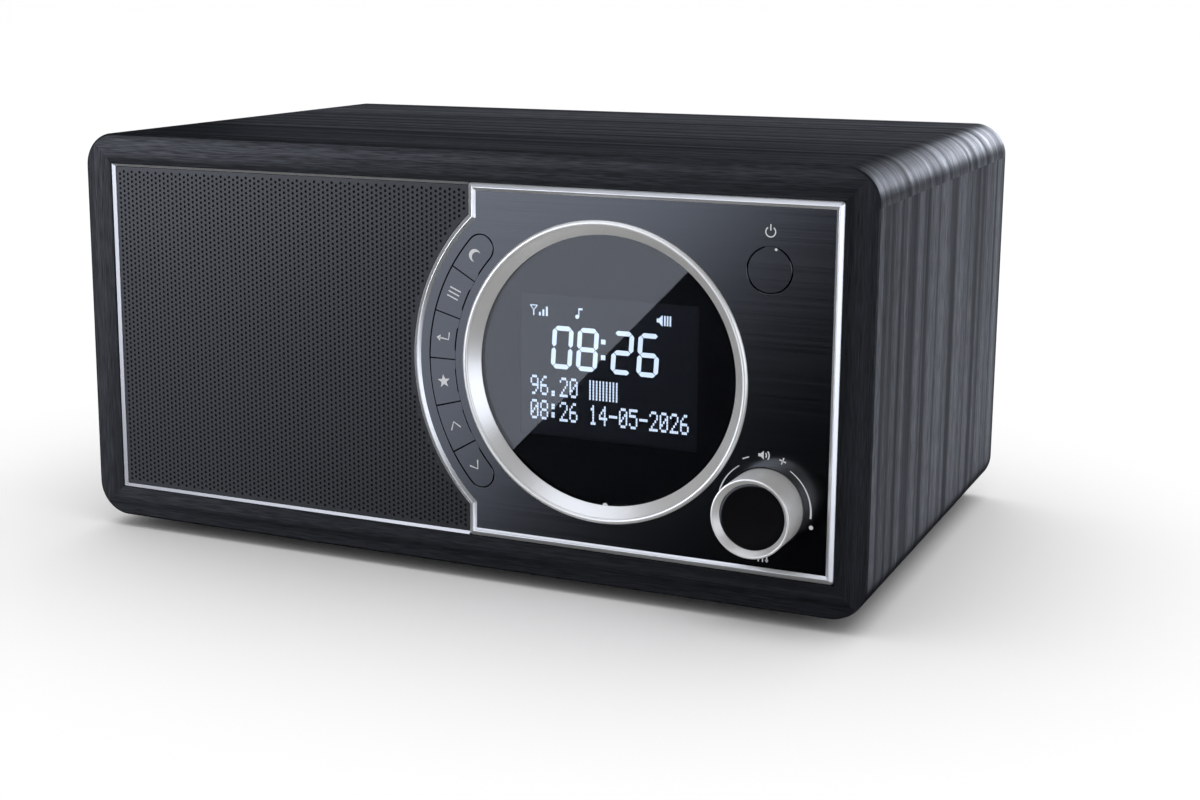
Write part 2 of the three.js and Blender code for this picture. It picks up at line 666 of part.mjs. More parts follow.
function rearPanel() {
  const panel = slab(openingOutline(FIT), REAR_FRONT, REAR_THICKNESS);
  const front = REAR_FRONT - 1;
  const back = REAR_BACK + 1;
  const screwHoles = screwPlaces().map((place) => disc(SCREW_RADIUS + 0.4, front, back, place, 12));
  const jackHoles = [0, 1, 2].map((index) =>
    disc(JACK_BARREL_RADIUS + SEAT, front, back, jackPlace(index), SMALL_ROUND));
  const vents = [];
  for (let i = 0; i < VENT_COUNT; i += 1) {
    const x = SPEAKER.x + (i - (VENT_COUNT - 1) / 2) * VENT_PITCH;
    vents.push(box(
      x - VENT_WIDTH / 2, x + VENT_WIDTH / 2, front, back,
      MIDDLE_HEIGHT - VENT_HEIGHT / 2, MIDDLE_HEIGHT + VENT_HEIGHT / 2));
  }
  const swivelHole = disc(SHAFT_RADIUS + SHAFT_FIT, front, back, ANTENNA, SMALL_ROUND);
  return cut(panel, ...screwHoles, ...jackHoles, ...vents, swivelHole);
}

function rearScrew(place) {
  return turned([
    [0, REAR_BACK + SCREW_HEAD_HEIGHT],
    [SCREW_HEAD_RADIUS * 0.6, REAR_BACK + SCREW_HEAD_HEIGHT],
    [SCREW_HEAD_RADIUS, REAR_BACK + SCREW_HEAD_HEIGHT * 0.4],
    [SCREW_HEAD_RADIUS, REAR_BACK],
    [SCREW_RADIUS, REAR_BACK],
    [SCREW_RADIUS, REAR_FRONT - SCREW_LENGTH + 1.5],
    [0, REAR_FRONT - SCREW_LENGTH],
  ], place, 12);
}

// ---- main board and its sockets -----------------------------------------------------------------
function mainBoard() {
  return box(
    MAIN_BOARD_RIGHT - MAIN_BOARD_WIDTH, MAIN_BOARD_RIGHT,
    MAIN_BOARD_BACK - MAIN_BOARD_DEPTH, MAIN_BOARD_BACK,
    MAIN_BOARD_BOTTOM, MAIN_BOARD_TOP);
}

// A folded bridge that stands on the cabinet's floor under the main board.
function boardBracket() {
  const left = MAIN_BOARD_RIGHT - MAIN_BOARD_WIDTH + 4;
  const right = MAIN_BOARD_RIGHT - 4;
  const outline = new THREE.Shape();
  outline.moveTo(left, OPENING_BOTTOM);
  outline.lineTo(left + BRACKET_WALL, OPENING_BOTTOM);
  outline.lineTo(left + BRACKET_WALL, MAIN_BOARD_BOTTOM - BRACKET_WALL);
  outline.lineTo(right - BRACKET_WALL, MAIN_BOARD_BOTTOM - BRACKET_WALL);
  outline.lineTo(right - BRACKET_WALL, OPENING_BOTTOM);
  outline.lineTo(right, OPENING_BOTTOM);
  outline.lineTo(right, MAIN_BOARD_BOTTOM);
  outline.lineTo(left, MAIN_BOARD_BOTTOM);
  outline.closePath();
  return slab(outline, MAIN_BOARD_BACK - MAIN_BOARD_DEPTH + 4, MAIN_BOARD_DEPTH - 8);
}

// A socket on the main board whose barrel shows through the rear panel.
function jack(index, plug) {
  const place = jackPlace(index);
  const half = JACK_WIDTH / 2;
  const bodyBack = REAR_FRONT - SEAT;
  const bodyFront = MAIN_BOARD_BACK - 10;
  const body = box(
    place.x - half, place.x + half, bodyFront, bodyBack, MAIN_BOARD_TOP, JACK_Z + half);
  const barrel = disc(JACK_BARREL_RADIUS, bodyBack - 0.5, REAR_BACK, place, SMALL_ROUND);
  const boreEnd = REAR_BACK - JACK_DEPTH;
  const shell = cut(joined(body, barrel), disc(plug.bore, boreEnd, REAR_BACK + 1, place, SMALL_ROUND));
  if (!plug.pin) return shell;
  return joined(shell, disc(plug.pin, boreEnd - 1, REAR_BACK - 1, place, 12));
}

// A pressed can over the tuner, open towards the board.
function tunerShield() {
  const left = MAIN_BOARD_RIGHT - MAIN_BOARD_WIDTH + SHIELD.edge;
  const right = left + SHIELD.width;
  const front = MAIN_BOARD_BACK - MAIN_BOARD_DEPTH + SHIELD.edge;
  const back = front + SHIELD.depth;
  const top = MAIN_BOARD_TOP + SHIELD.height;
  const wall = SHIELD.wall;
  const inside = box(
    left + wall, right - wall, front + wall, back - wall, MAIN_BOARD_TOP - 1, top - wall);
  return cut(box(left, right, front, back, MAIN_BOARD_TOP, top), inside);
}

// A flat cable from the back of the control board to the front edge of the main board.
function ribbonCable() {
  const start = CONTROL_BOARD_FRONT + BOARD_THICKNESS;
  const end = MAIN_BOARD_BACK - MAIN_BOARD_DEPTH + 6;
  const high = MAIN_BOARD_TOP + 14;
  const thickness = RIBBON_THICKNESS;
  const section = new THREE.Shape();
  section.moveTo(start, high);
  section.lineTo(start + 6, high);
  section.lineTo(end - 14, MAIN_BOARD_TOP + 5);
  section.lineTo(end, MAIN_BOARD_TOP);
  section.lineTo(end, MAIN_BOARD_TOP + thickness);
  section.lineTo(end - 14, MAIN_BOARD_TOP + 5 + thickness);
  section.lineTo(start + 6, high + thickness);
  section.lineTo(start, high + thickness);
  section.closePath();
  return bar(section, DIAL.x - RIBBON_WIDTH / 2, RIBBON_WIDTH);
}

// A two-core lead, clipped at both ends, from the loudspeaker's frame to the main board.
function speakerLead() {
  const radius = LEAD_RADIUS;
  const boardLeft = MAIN_BOARD_RIGHT - MAIN_BOARD_WIDTH;
  const magnetEdge = SPEAKER.x + MAGNET_RADIUS + radius + SEAT;
  const boardFront = MAIN_BOARD_BACK - MAIN_BOARD_DEPTH;
  const end = new THREE.Vector3(boardLeft + 5, boardFront + 3, MAIN_BOARD_TOP + radius + SEAT);
  const route = new THREE.CatmullRomCurve3([
    new THREE.Vector3(magnetEdge, BAFFLE_BACK + 27, MIDDLE_HEIGHT),
    new THREE.Vector3(magnetEdge + 3, BAFFLE_BACK + 34, MIDDLE_HEIGHT - 8),
    new THREE.Vector3((magnetEdge + boardLeft) / 2, boardFront - 12, MAIN_BOARD_TOP + 10),
    new THREE.Vector3(boardLeft - 2, boardFront - 3, MAIN_BOARD_TOP + 4),
    end,
  ]);
  const section = new THREE.Shape();
  section.absarc(0, 0, radius, 0, 2 * Math.PI, false);
  return new THREE.ExtrudeGeometry(section, { steps: 16, extrudePath: route, curveSegments: 4 });
}

// ---- telescopic antenna -------------------------------------------------------------------------
// The tubes lie along -X from the hinge when the antenna is folded away.
function antennaBase() {
  return turned([
    [ANTENNA_BASE_RADIUS, REAR_BACK],
    [ANTENNA_BASE_RADIUS, REAR_BACK + ANTENNA_BASE_HEIGHT * 0.5],
    [ANTENNA_BASE_RADIUS - 0.8, REAR_BACK + ANTENNA_BASE_HEIGHT],
    [SHAFT_RADIUS + SHAFT_FIT, REAR_BACK + ANTENNA_BASE_HEIGHT],
    [SHAFT_RADIUS + SHAFT_FIT, REAR_BACK],
  ], ANTENNA, 28);
}

// A round piece on the antenna's tilt axis.
function hingePin(radius, halfLength) {
  return new THREE.CylinderGeometry(radius, radius, 2 * halfLength, SMALL_ROUND)
    .rotateX(Math.PI / 2)
    .translate(ANTENNA.x, HINGE_Y, ANTENNA.z);
}

function antennaSwivel() {
  const shaft = disc(SHAFT_RADIUS, REAR_FRONT - 3, SWIVEL_FRONT + 0.5, ANTENNA, SMALL_ROUND);
  const plate = disc(SWIVEL_RADIUS, SWIVEL_FRONT, SWIVEL_BACK, ANTENNA, 28);
  const inner = TONGUE_THICKNESS / 2 + 0.2;
  const outer = inner + EAR_THICKNESS;
  const ears = [-1, 1].map((side) => {
    const low = Math.min(side * inner, side * outer);
    const cheek = box(
      ANTENNA.x - EAR_RADIUS, ANTENNA.x + EAR_RADIUS, SWIVEL_BACK - 0.5, HINGE_Y,
      ANTENNA.z + low, ANTENNA.z + low + EAR_THICKNESS);
    const crown = hingePin(EAR_RADIUS, EAR_THICKNESS / 2).translate(0, 0, low + EAR_THICKNESS / 2);
    return joined(cheek, crown);
  });
  return joined(shaft, plate, ...ears, hingePin(HINGE_PIN_RADIUS, outer - 0.1));
}

// A tube or rod along -X, from [radius, distance from the hinge] points.
function antennaTurned(profile) {
  const points = profile.map(([radius, along]) => new THREE.Vector2(radius, along));
  if (THREE.ShapeUtils.area(points) < 0) points.reverse();
  if (profile[0][0] > 0 || profile.at(-1)[0] > 0) points.push(points[0].clone());
  return new THREE.LatheGeometry(points, 16)
    .rotateZ(Math.PI / 2)
    .translate(ANTENNA.x, HINGE_Y, ANTENNA.z);
}

function tubeBore(index) {
  return ANTENNA_TUBE_RADII[index] - ANTENNA_TUBE_WALL;
}

function tubeEnd(index) {
  return TUBE_START + ANTENNA_TUBE_LENGTH + index * ANTENNA_STEP;
}

// The outermost tube ends in a flat tongue that turns on the hinge pin.
function antennaRootTube() {
  const radius = ANTENNA_TUBE_RADII[0];
  const plugEnd = TUBE_START + 4;
  const tube = antennaTurned([
    [0, TUBE_START],
    [radius, TUBE_START],
    [radius, tubeEnd(0)],
    [tubeBore(0), tubeEnd(0)],
    [tubeBore(0), plugEnd],
    [0, plugEnd],
  ]);
  const half = TONGUE_THICKNESS / 2;
  const knuckle = hingePin(KNUCKLE_RADIUS, half);
  const tongue = box(
    ANTENNA.x - TUBE_START - 0.5, ANTENNA.x, HINGE_Y - 1.9, HINGE_Y + 1.9,
    ANTENNA.z - half, ANTENNA.z + half);
  return cut(joined(tube, knuckle, tongue), hingePin(HINGE_PIN_RADIUS + SHAFT_FIT, half + 1));
}

function antennaTube(index) {
  const radius = ANTENNA_TUBE_RADII[index];
  const start = TUBE_START + 6 + index * ANTENNA_STEP;
  return antennaTurned([
    [tubeBore(index), start],
    [radius, start],
    [radius, tubeEnd(index)],
    [tubeBore(index), tubeEnd(index)],
  ]);
}

function antennaTip() {
  const start = TUBE_START + 8 + ANTENNA_TUBE_RADII.length * ANTENNA_STEP;
  const capStart = tubeEnd(ANTENNA_TUBE_RADII.length);
  const capRadius = ANTENNA_TUBE_RADII[0];
  return antennaTurned([
    [0, start],
    [ANTENNA_ROD_RADIUS, start],
    [ANTENNA_ROD_RADIUS, capStart],
    [capRadius, capStart],
    [capRadius, capStart + 5],
    [capRadius - 0.6, capStart + 5.8],
    [0, capStart + 6],
  ]);
}

// ---- materials ----------------------------------------------------------------------------------
function finish(color, roughness, metalness) {
  return new THREE.MeshStandardMaterial({ color, roughness, metalness });
}

const blackWood = finish(0x34363b, 0.38, 0);
const silver = finish(0xc9cbcd, 0.3, 1);
const brushedPanel = finish(0x55585e, 0.35, 0.9);
const grilleSteel = finish(0x3a3c42, 0.5, 0.7);
const blackPlastic = finish(0x1b1c1f, 0.5, 0);
const glossBlack = finish(0x0b0c0e, 0.08, 0);
const smokedGlass = finish(0x15171a, 0.05, 0);
const lcdGlass = finish(0x202a36, 0.1, 0);
const lightGuide = finish(0xe8f0ff, 0.4, 0);
const circuitBoard = finish(0x1f5134, 0.6, 0);
const pressedSteel = finish(0x8c8f93, 0.45, 1);
const ferrite = finish(0x2a2b2d, 0.7, 0.2);
const paper = finish(0x26272a, 0.85, 0);
const batten = finish(0xb08a5c, 0.8, 0);
const rubber = finish(0x161617, 0.9, 0);
const chrome = finish(0xd6d8da, 0.12, 1);
const cableGrey = finish(0x9a9da2, 0.6, 0);

// ---- assembly -----------------------------------------------------------------------------------
const radio = new THREE.Group();
const front = new THREE.Group();
const inside = new THREE.Group();
const back = new THREE.Group();
const antenna = new THREE.Group();
back.add(antenna);
radio.add(front, inside, back);

function place(group, name, geometry, material) {
  const mesh = new THREE.Mesh(geometry, material);
  mesh.name = name;
  group.add(mesh);
}

place(radio, "cabinet", cabinet(), blackWood);
for (const [side, sign] of [["left", -1], ["right", 1]]) {
  const x = sign * (CABINET_WIDTH / 2 - FOOT_INSET);
  place(radio, "foot_front_" + side, foot(x, FOOT_INSET), rubber);
  place(radio, "foot_rear_" + side, foot(x, CABINET_DEPTH - FOOT_INSET), rubber);
}

place(front, "front_trim", frontTrim(), silver);
place(front, "speaker_grille", speakerGrille(), grilleSteel);
place(front, "control_panel", controlPanel(), brushedPanel);
place(front, "panel_bezel", panelBezel(), silver);
place(front, "front_baffle", frontBaffle(), blackPlastic);
place(front, "display_ring", displayRing(), silver);
place(front, "display_lens", displayLens(), smokedGlass);
place(front, "lcd_glass", lcdLayer(LCD_FRONT, LCD_THICKNESS, 0), lcdGlass);
place(front, "lcd_backlight", lcdLayer(LCD_BACK, BACKLIGHT_THICKNESS, 1), lightGuide);

const keyNames = ["sleep", "info", "enter", "preset", "up", "down"];
keyNames.forEach((name, index) => {
  const spot = onDial(KEY_MIDDLE_RADIUS, keyAngle(index));
  place(front, "key_" + name, key(index), brushedPanel);
  place(inside, "switch_" + name, tactSwitch(spot), blackPlastic);
});
place(front, "power_button", powerButton(), brushedPanel);
place(inside, "switch_power", tactSwitch(POWER), blackPlastic);

place(front, "knob_body", knobBody(), silver);
place(front, "knob_cap", knobCap(), glossBlack);
place(inside, "encoder_shaft", encoderShaft(), pressedSteel);
place(inside, "encoder_plunger", encoderPlunger(), blackPlastic);
place(inside, "encoder_body", encoderBody(), pressedSteel);
place(inside, "control_board", controlBoard(), circuitBoard);

place(inside, "speaker_basket", speakerBasket(), pressedSteel);
place(inside, "speaker_cone", speakerCone(), paper);
place(inside, "dust_cap", dustCap(), paper);
place(inside, "speaker_magnet", speakerMagnet(), ferrite);
place(inside, "main_board", mainBoard(), circuitBoard);
place(inside, "board_bracket", boardBracket(), pressedSteel);
place(inside, "tuner_shield", tunerShield(), pressedSteel);
place(inside, "ribbon_cable", ribbonCable(), cableGrey);
place(inside, "speaker_lead", speakerLead(), cableGrey);

place(back, "rear_frame", rearFrame(), batten);
place(back, "rear_panel", rearPanel(), blackPlastic);
screwPlaces().forEach((spot, index) => {
  place(back, "rear_screw_" + (index + 1), rearScrew(spot), pressedSteel);
});
place(back, "dc_jack", jack(0, POWER_PLUG), blackPlastic);
place(back, "aux_jack", jack(1, AUDIO_PLUG), blackPlastic);
place(back, "headphone_jack", jack(2, AUDIO_PLUG), blackPlastic);

place(antenna, "antenna_base", antennaBase(), blackPlastic);
place(antenna, "antenna_swivel", antennaSwivel(), chrome);
place(antenna, "antenna_tube_1", antennaRootTube(), chrome);
for (let index = 1; index < ANTENNA_TUBE_RADII.length; index += 1)
  place(antenna, "antenna_tube_" + (index + 1), antennaTube(index), chrome);
place(antenna, "antenna_tip", antennaTip(), chrome);

// The origin is on the surface that the feet stand on, under the middle of the whole radio.
radio.position.set(0, -(KNOB_FRONT + ANTENNA_BACK) / 2, FOOT_HEIGHT);

export default radio;
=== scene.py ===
"""A tabletop radio: black wood-grain cabinet, perforated grille, brushed control panel with a round
display in a silver ring, curved keys, a push-and-turn knob and a folding antenna behind."""

import json
import math

import bmesh
import bpy
from mathutils import Matrix, Vector
from mathutils.geometry import tessellate_polygon


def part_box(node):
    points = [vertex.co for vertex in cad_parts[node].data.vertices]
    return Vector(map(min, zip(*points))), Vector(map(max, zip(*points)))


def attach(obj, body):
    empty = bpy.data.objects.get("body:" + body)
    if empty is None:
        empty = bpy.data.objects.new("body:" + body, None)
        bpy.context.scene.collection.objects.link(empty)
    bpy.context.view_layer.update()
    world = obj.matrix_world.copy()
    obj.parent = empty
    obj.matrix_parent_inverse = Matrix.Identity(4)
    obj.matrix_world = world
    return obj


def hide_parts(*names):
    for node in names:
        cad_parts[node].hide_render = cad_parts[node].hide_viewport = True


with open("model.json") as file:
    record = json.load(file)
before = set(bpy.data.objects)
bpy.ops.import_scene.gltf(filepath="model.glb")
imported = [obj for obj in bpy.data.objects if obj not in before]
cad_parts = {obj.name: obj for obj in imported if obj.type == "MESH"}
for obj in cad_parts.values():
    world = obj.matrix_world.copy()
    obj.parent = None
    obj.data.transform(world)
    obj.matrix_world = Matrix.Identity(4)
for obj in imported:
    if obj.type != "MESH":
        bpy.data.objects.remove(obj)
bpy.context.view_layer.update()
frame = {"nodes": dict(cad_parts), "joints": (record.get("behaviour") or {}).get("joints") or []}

MM = 0.001
TURN = 2 * math.pi

# ---- places taken from the frame ----------------------------------------------------------------
cabinet_low, cabinet_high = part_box("cabinet")
panel_low, panel_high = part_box("control_panel")
bezel_low, bezel_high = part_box("panel_bezel")
grille_low, grille_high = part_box("speaker_grille")
trim_low, trim_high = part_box("front_trim")
ring_low, ring_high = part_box("display_ring")
lens_low, lens_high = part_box("display_lens")
lcd_low, lcd_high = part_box("lcd_glass")
knob_low, knob_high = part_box("knob_body")
knob_cap_low, knob_cap_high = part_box("knob_cap")
power_low, power_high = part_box("power_button")
rear_low, rear_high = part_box("rear_panel")


def middle(low, high):
    """The centre of a box seen from the front, as (x, z)."""
    return ((low.x + high.x) / 2, (low.z + high.z) / 2)


DIAL = middle(ring_low, ring_high)
KNOB = middle(knob_low, knob_high)
POWER = middle(power_low, power_high)
FRONT = cabinet_low.y
FACE = panel_low.y
RING_RADIUS = (ring_high.x - ring_low.x) / 2
LENS_RADIUS = (lens_high.x - lens_low.x) / 2
KNOB_RADIUS = (knob_high.x - knob_low.x) / 2
POWER_RADIUS = (power_high.x - power_low.x) / 2
BULGE_RADIUS = DIAL[0] - bezel_low.x
BULGE_HALF_ANGLE = math.radians(46)
STACK_BACK = panel_high.y

# ---- sizes of the fine shapes -------------------------------------------------------------------
CORNER_RADIUS = 9.6 * MM
WALL = 8.65 * MM
BEZEL_WIDTH = 2.05 * MM
BEZEL_CREST = 1.2 * MM
BEZEL_CORNER = 1.0 * MM
TRIM_WIDTH = 0.8 * MM
GRILLE_GAP = 0.4 * MM
GRILLE_SHEET = 0.35 * MM
GRILLE_PITCH = 1.393 * MM
GRILLE_HOLE_RADIUS = 0.44 * MM
GRILLE_MARGIN = 1.0 * MM

KEY_NAMES = ("sleep", "info", "enter", "preset", "up", "down")
KEY_PITCH = math.radians(15.3)
KEY_INNER_RADIUS = RING_RADIUS + 2.6 * MM
KEY_WIDTH = 7.25 * MM
KEY_OUTER_RADIUS = KEY_INNER_RADIUS + KEY_WIDTH
KEY_MIDDLE_RADIUS = (KEY_INNER_RADIUS + KEY_OUTER_RADIUS) / 2
KEY_GAP = 0.3 * MM
KEY_THICKNESS = 2.4 * MM
STRIP_HALF_ANGLE = len(KEY_NAMES) * KEY_PITCH / 2
STEM_RADIUS = 1.6 * MM
KNOB_GAP = 0.35 * MM
INK = 0.02 * MM
EASE = 0.06 * MM


# ---- outlines: lists of (x, z) points -----------------------------------------------------------
def arc(centre, radius, start, end, steps):
    """Points on an arc, both ends included."""
    return [
        (centre[0] + radius * math.cos(start + (end - start) * i / steps),
         centre[1] + radius * math.sin(start + (end - start) * i / steps))
        for i in range(steps + 1)
    ]


def circle(centre, radius, steps=64):
    """Points once round, the last not repeating the first."""
    return arc(centre, radius, 0, TURN, steps)[:-1]


def rectangle(left, right, bottom, top):
    """The four corners, from the lower left round through the lower right."""
    return [(left, bottom), (right, bottom), (right, top), (left, top)]


def rounded(points, radius, steps=5):
    """The outline with every corner made round, for outlines whose corners are all square."""
    done = []
    for i, (x, z) in enumerate(points):
        before, after = Vector(points[i - 1]), Vector(points[(i + 1) % len(points)])
        corner = Vector((x, z))
        a, b = (before - corner).normalized(), (after - corner).normalized()
        start, end = corner + a * radius, corner + b * radius
        for k in range(steps + 1):
            t = k / steps
            done.append(tuple(start * (1 - t) ** 2 + corner * 2 * t * (1 - t) + end * t**2))
    return done


def panel_outline(inset, corner=0.0, steps=64):
    """The control panel's outline: a rectangle whose left side bulges out round the dial."""
    left = DIAL[0] - BULGE_RADIUS * math.cos(BULGE_HALF_ANGLE) + inset
    right, bottom, top = bezel_high.x - inset, bezel_low.z + inset, bezel_high.z - inset
    bulge = BULGE_RADIUS - inset
    turn = math.acos((DIAL[0] - left) / bulge)
    corners = rectangle(left, right, bottom, top)
    radius = max(corner - inset, 0.05 * MM)
    rounded_corners = rounded(corners, radius)
    quarter = len(rounded_corners) // 4
    curve = arc(DIAL, bulge, math.pi - turn, math.pi + turn, steps)
    return rounded_corners[quarter:] + curve + rounded_corners[:quarter]


def strip_outline(start, end, grow, round_start, round_end, steps=16):
    """A stretch of the curved key strip between two angles, with round ends where asked for."""
    inner, outer = KEY_INNER_RADIUS - grow, KEY_OUTER_RADIUS + grow
    half = (outer - inner) / 2
    round_turn = half / KEY_MIDDLE_RADIUS
    grow_turn = grow / KEY_MIDDLE_RADIUS
    first = start - grow_turn + (round_turn if round_start else 0)
    last = end + grow_turn - (round_turn if round_end else 0)
    points = arc(DIAL, outer, first, last, steps)
    if round_end:
        tip = on_dial(KEY_MIDDLE_RADIUS, last)
        points += arc(tip, half, last, last + math.pi, 16)[1:-1]
    points += arc(DIAL, inner, last, first, steps)
    if round_start:
        tip = on_dial(KEY_MIDDLE_RADIUS, first)
        points += arc(tip, half, first + math.pi, first + TURN, 16)[1:-1]
    return points


def on_dial(radius, angle):
    """A point at a distance and an angle from the middle of the display ring."""
    return (DIAL[0] + radius * math.cos(angle), DIAL[1] + radius * math.sin(angle))


def key_angle(index):
    """The middle angle of a key, counted from the top of the strip down."""
    return math.pi - STRIP_HALF_ANGLE + (index + 0.5) * KEY_PITCH


# ---- shapes: (points, faces) --------------------------------------------------------------------
def together(*shapes):
    """Several shapes as one."""
    points, faces = [], []
    for more_points, more_faces in shapes:
        faces += [[i + len(points) for i in face] for face in more_faces]
        points += more_points
    return points, faces


def lofted(outlines, closed=True):
    """Outlines with equally many points, each with its own y, joined one to the next."""
    count = len(outlines[0][0])
    points = [(x, y, z) for outline, y in outlines for x, z in outline]
    faces = []
    last = len(outlines) if closed else len(outlines) - 1
    for i in range(last):
        a, b = i * count, (i + 1) % len(outlines) * count
        for k in range(count):
            n = (k + 1) % count
            faces.append([a + k, a + n, b + n, b + k])
    return points, faces


def triangles_between(outlines):
    """Triangles across the first outline, round the others, as numbers into all their points."""
    loops = [[Vector((x / MM, z / MM, 0)) for x, z in outline] for outline in outlines]
    return [list(corners) for corners in tessellate_polygon(loops)]


def slab(levels):
    """A solid from sets of matching outlines, each set at its own y, from front to back."""
    points, faces = [], []
    count = sum(len(outline) for outline in levels[0][0])
    for outlines, y in levels:
        points += [(x, y, z) for outline in outlines for x, z in outline]
    last = count * (len(levels) - 1)
    faces += triangles_between(levels[0][0])
    faces += [[i + last for i in corners] for corners in triangles_between(levels[-1][0])]
    for level in range(len(levels) - 1):
        start = level * count
        for outline in levels[0][0]:
            size = len(outline)
            for k in range(size):
                a, b = start + k, start + (k + 1) % size
                faces.append([a, b, b + count, a + count])
            start += size
    return points, faces


def plate(outlines, front, back):
    """A slab from its outline and the outlines of its holes."""
    return slab([(outlines, front), (outlines, back)])


def eased_plate(front_outlines, outlines, front, back, ease):
    """A slab whose front edge runs from the front outlines out to the full ones over a small depth."""
    return slab([(front_outlines, front), (outlines, front + ease), (outlines, back)])


def turned(profile, centre, steps=64):
    """A round piece about a front-to-back axis, from (radius, y) points."""
    points, rings = [], []
    for radius, y in profile:
        if radius == 0:
            rings.append([len(points)] * steps)
            points.append((centre[0], y, centre[1]))
        else:
            rings.append(list(range(len(points), len(points) + steps)))
            points += [(x, y, z) for x, z in circle(centre, radius, steps)]
    faces = []
    pairs = list(zip(rings, rings[1:]))
    if profile[0][0] > 0 and profile[-1][0] > 0:
        pairs.append((rings[-1], rings[0]))
    for a, b in pairs:
        for k in range(steps):
            n = (k + 1) % steps
            faces.append(list(dict.fromkeys([a[k], a[n], b[n], b[k]])))
    return points, faces


def box(low, high):
    """A plain block between two corners."""
    outline = rectangle(low[0], high[0], low[2], high[2])
    return plate([outline], low[1], high[1])


def ink(outline, y, holes=()):
    """A printed mark: a film of ink in front of y."""
    return plate([outline, *holes], y - INK, y)


def line_mark(points, width, y):
    """A printed line of one width along a few points."""
    path = [Vector(p) for p in points]
    left, right = [], []
    for i, p in enumerate(path):
        before, after = path[max(i - 1, 0)], path[min(i + 1, len(path) - 1)]
        along = (after - before).normalized()
        side = Vector((-along.y, along.x)) * width / 2
        left.append(tuple(p + side))
        right.append(tuple(p - side))
    return ink(left + right[::-1], y)


def moved(points, centre, angle=0.0, scale=1.0):
    """Points of a mark drawn about (0, 0), turned and put in place."""
    c, s = math.cos(angle) * scale, math.sin(angle) * scale
    return [(centre[0] + x * c - z * s, centre[1] + x * s + z * c) for x, z in points]


# ---- pieces -------------------------------------------------------------------------------------
def shown(name, data):
    """A new object of some mesh, lamp or camera data, put into the scene."""
    made = bpy.data.objects.new(name, data)
    bpy.context.scene.collection.objects.link(made)
    return made


def piece(name, shape, material, body="radio", stands_for=(), bevel=0.0, sharp=32, weld=True):
    """A finished object from a shape: welded, facing out, its edges eased, riding on its body."""
    points, faces = shape
    form = bmesh.new()
    corners = [form.verts.new(p) for p in points]
    for face in faces:
        form.faces.new([corners[i] for i in face])
    if weld:
        bmesh.ops.remove_doubles(form, verts=form.verts, dist=0.002 * MM)
    bmesh.ops.recalc_face_normals(form, faces=form.faces)
    mesh = bpy.data.meshes.new(name)
    form.to_mesh(mesh)
    form.free()
    mesh.materials.append(material)
    made = shown(name, mesh)
    if bevel:
        ease_edges(made, bevel)
        sharp = min(sharp, 20)
    return settled(made, body, stands_for, sharp)


def ease_edges(made, width):
    """A small rounding on every edge that turns by more than 40 degrees."""
    rounding = made.modifiers.new("Eased edges", "BEVEL")
    rounding.width = width
    rounding.segments = 2
    rounding.limit_method = "ANGLE"
    rounding.angle_limit = math.radians(40)
    rounding.use_clamp_overlap = True
    made_plain(made)


def made_plain(made):
    """The object's evaluated shape as its own mesh, with no modifier left on it."""
    evaluated = made.evaluated_get(bpy.context.evaluated_depsgraph_get())
    mesh = bpy.data.meshes.new_from_object(evaluated)
    made.modifiers.clear()
    made.data = mesh


def settled(made, body, stands_for, sharp):
    """Smooth shading but for sharp edges, the piece's body, and the nodes it stands for hidden."""
    made.data.shade_smooth()
    made.data.set_sharp_from_angle(angle=math.radians(sharp))
    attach(made, body)
    if stands_for:
        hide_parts(*stands_for)
    return made


def front_uv(made, name="Brushing"):
    """A UV map in metres seen from the front, U along X."""
    layer = made.data.uv_layers.new(name=name)
    for loop in made.data.loops:
        co = made.data.vertices[loop.vertex_index].co
        layer.data[loop.index].uv = (co.x, co.z)


# ---- materials ----------------------------------------------------------------------------------
def node(tree, kind, **values):
    """A node with some of its inputs or settings given."""
    made = tree.nodes.new(kind)
    for key, value in values.items():
        if key in made.inputs:
            made.inputs[key].default_value = value
        else:
            setattr(made, key, value)
    return made


def group(name, inputs, outputs):
    """An empty shader group with named sockets, its input node and its output node."""
    tree = bpy.data.node_groups.new(name, "ShaderNodeTree")
    for label, kind, value in inputs:
        socket = tree.interface.new_socket(label, in_out="INPUT", socket_type=kind)
        if value is not None:
            socket.default_value = value
    for label, kind in outputs:
        tree.interface.new_socket(label, in_out="OUTPUT", socket_type=kind)
    return tree, tree.nodes.new("NodeGroupInput"), tree.nodes.new("NodeGroupOutput")


def sharpened(tree, source, noise, out):
    """Spreads the middle of a noise, as wide as Contrast says to each side, over 0 to 1."""
    low = node(tree, "ShaderNodeMath", operation="SUBTRACT")
    high = node(tree, "ShaderNodeMath", operation="ADD")
    low.inputs[0].default_value = high.inputs[0].default_value = 0.5
    spread = node(tree, "ShaderNodeMapRange")
    link = tree.links.new
    link(source.outputs["Contrast"], low.inputs[1])
    link(source.outputs["Contrast"], high.inputs[1])
    link(noise.outputs[0], spread.inputs["Value"])
    link(low.outputs[0], spread.inputs["From Min"])
    link(high.outputs[0], spread.inputs["From Max"])
    link(spread.outputs[0], out.inputs["Value"])
    return tree


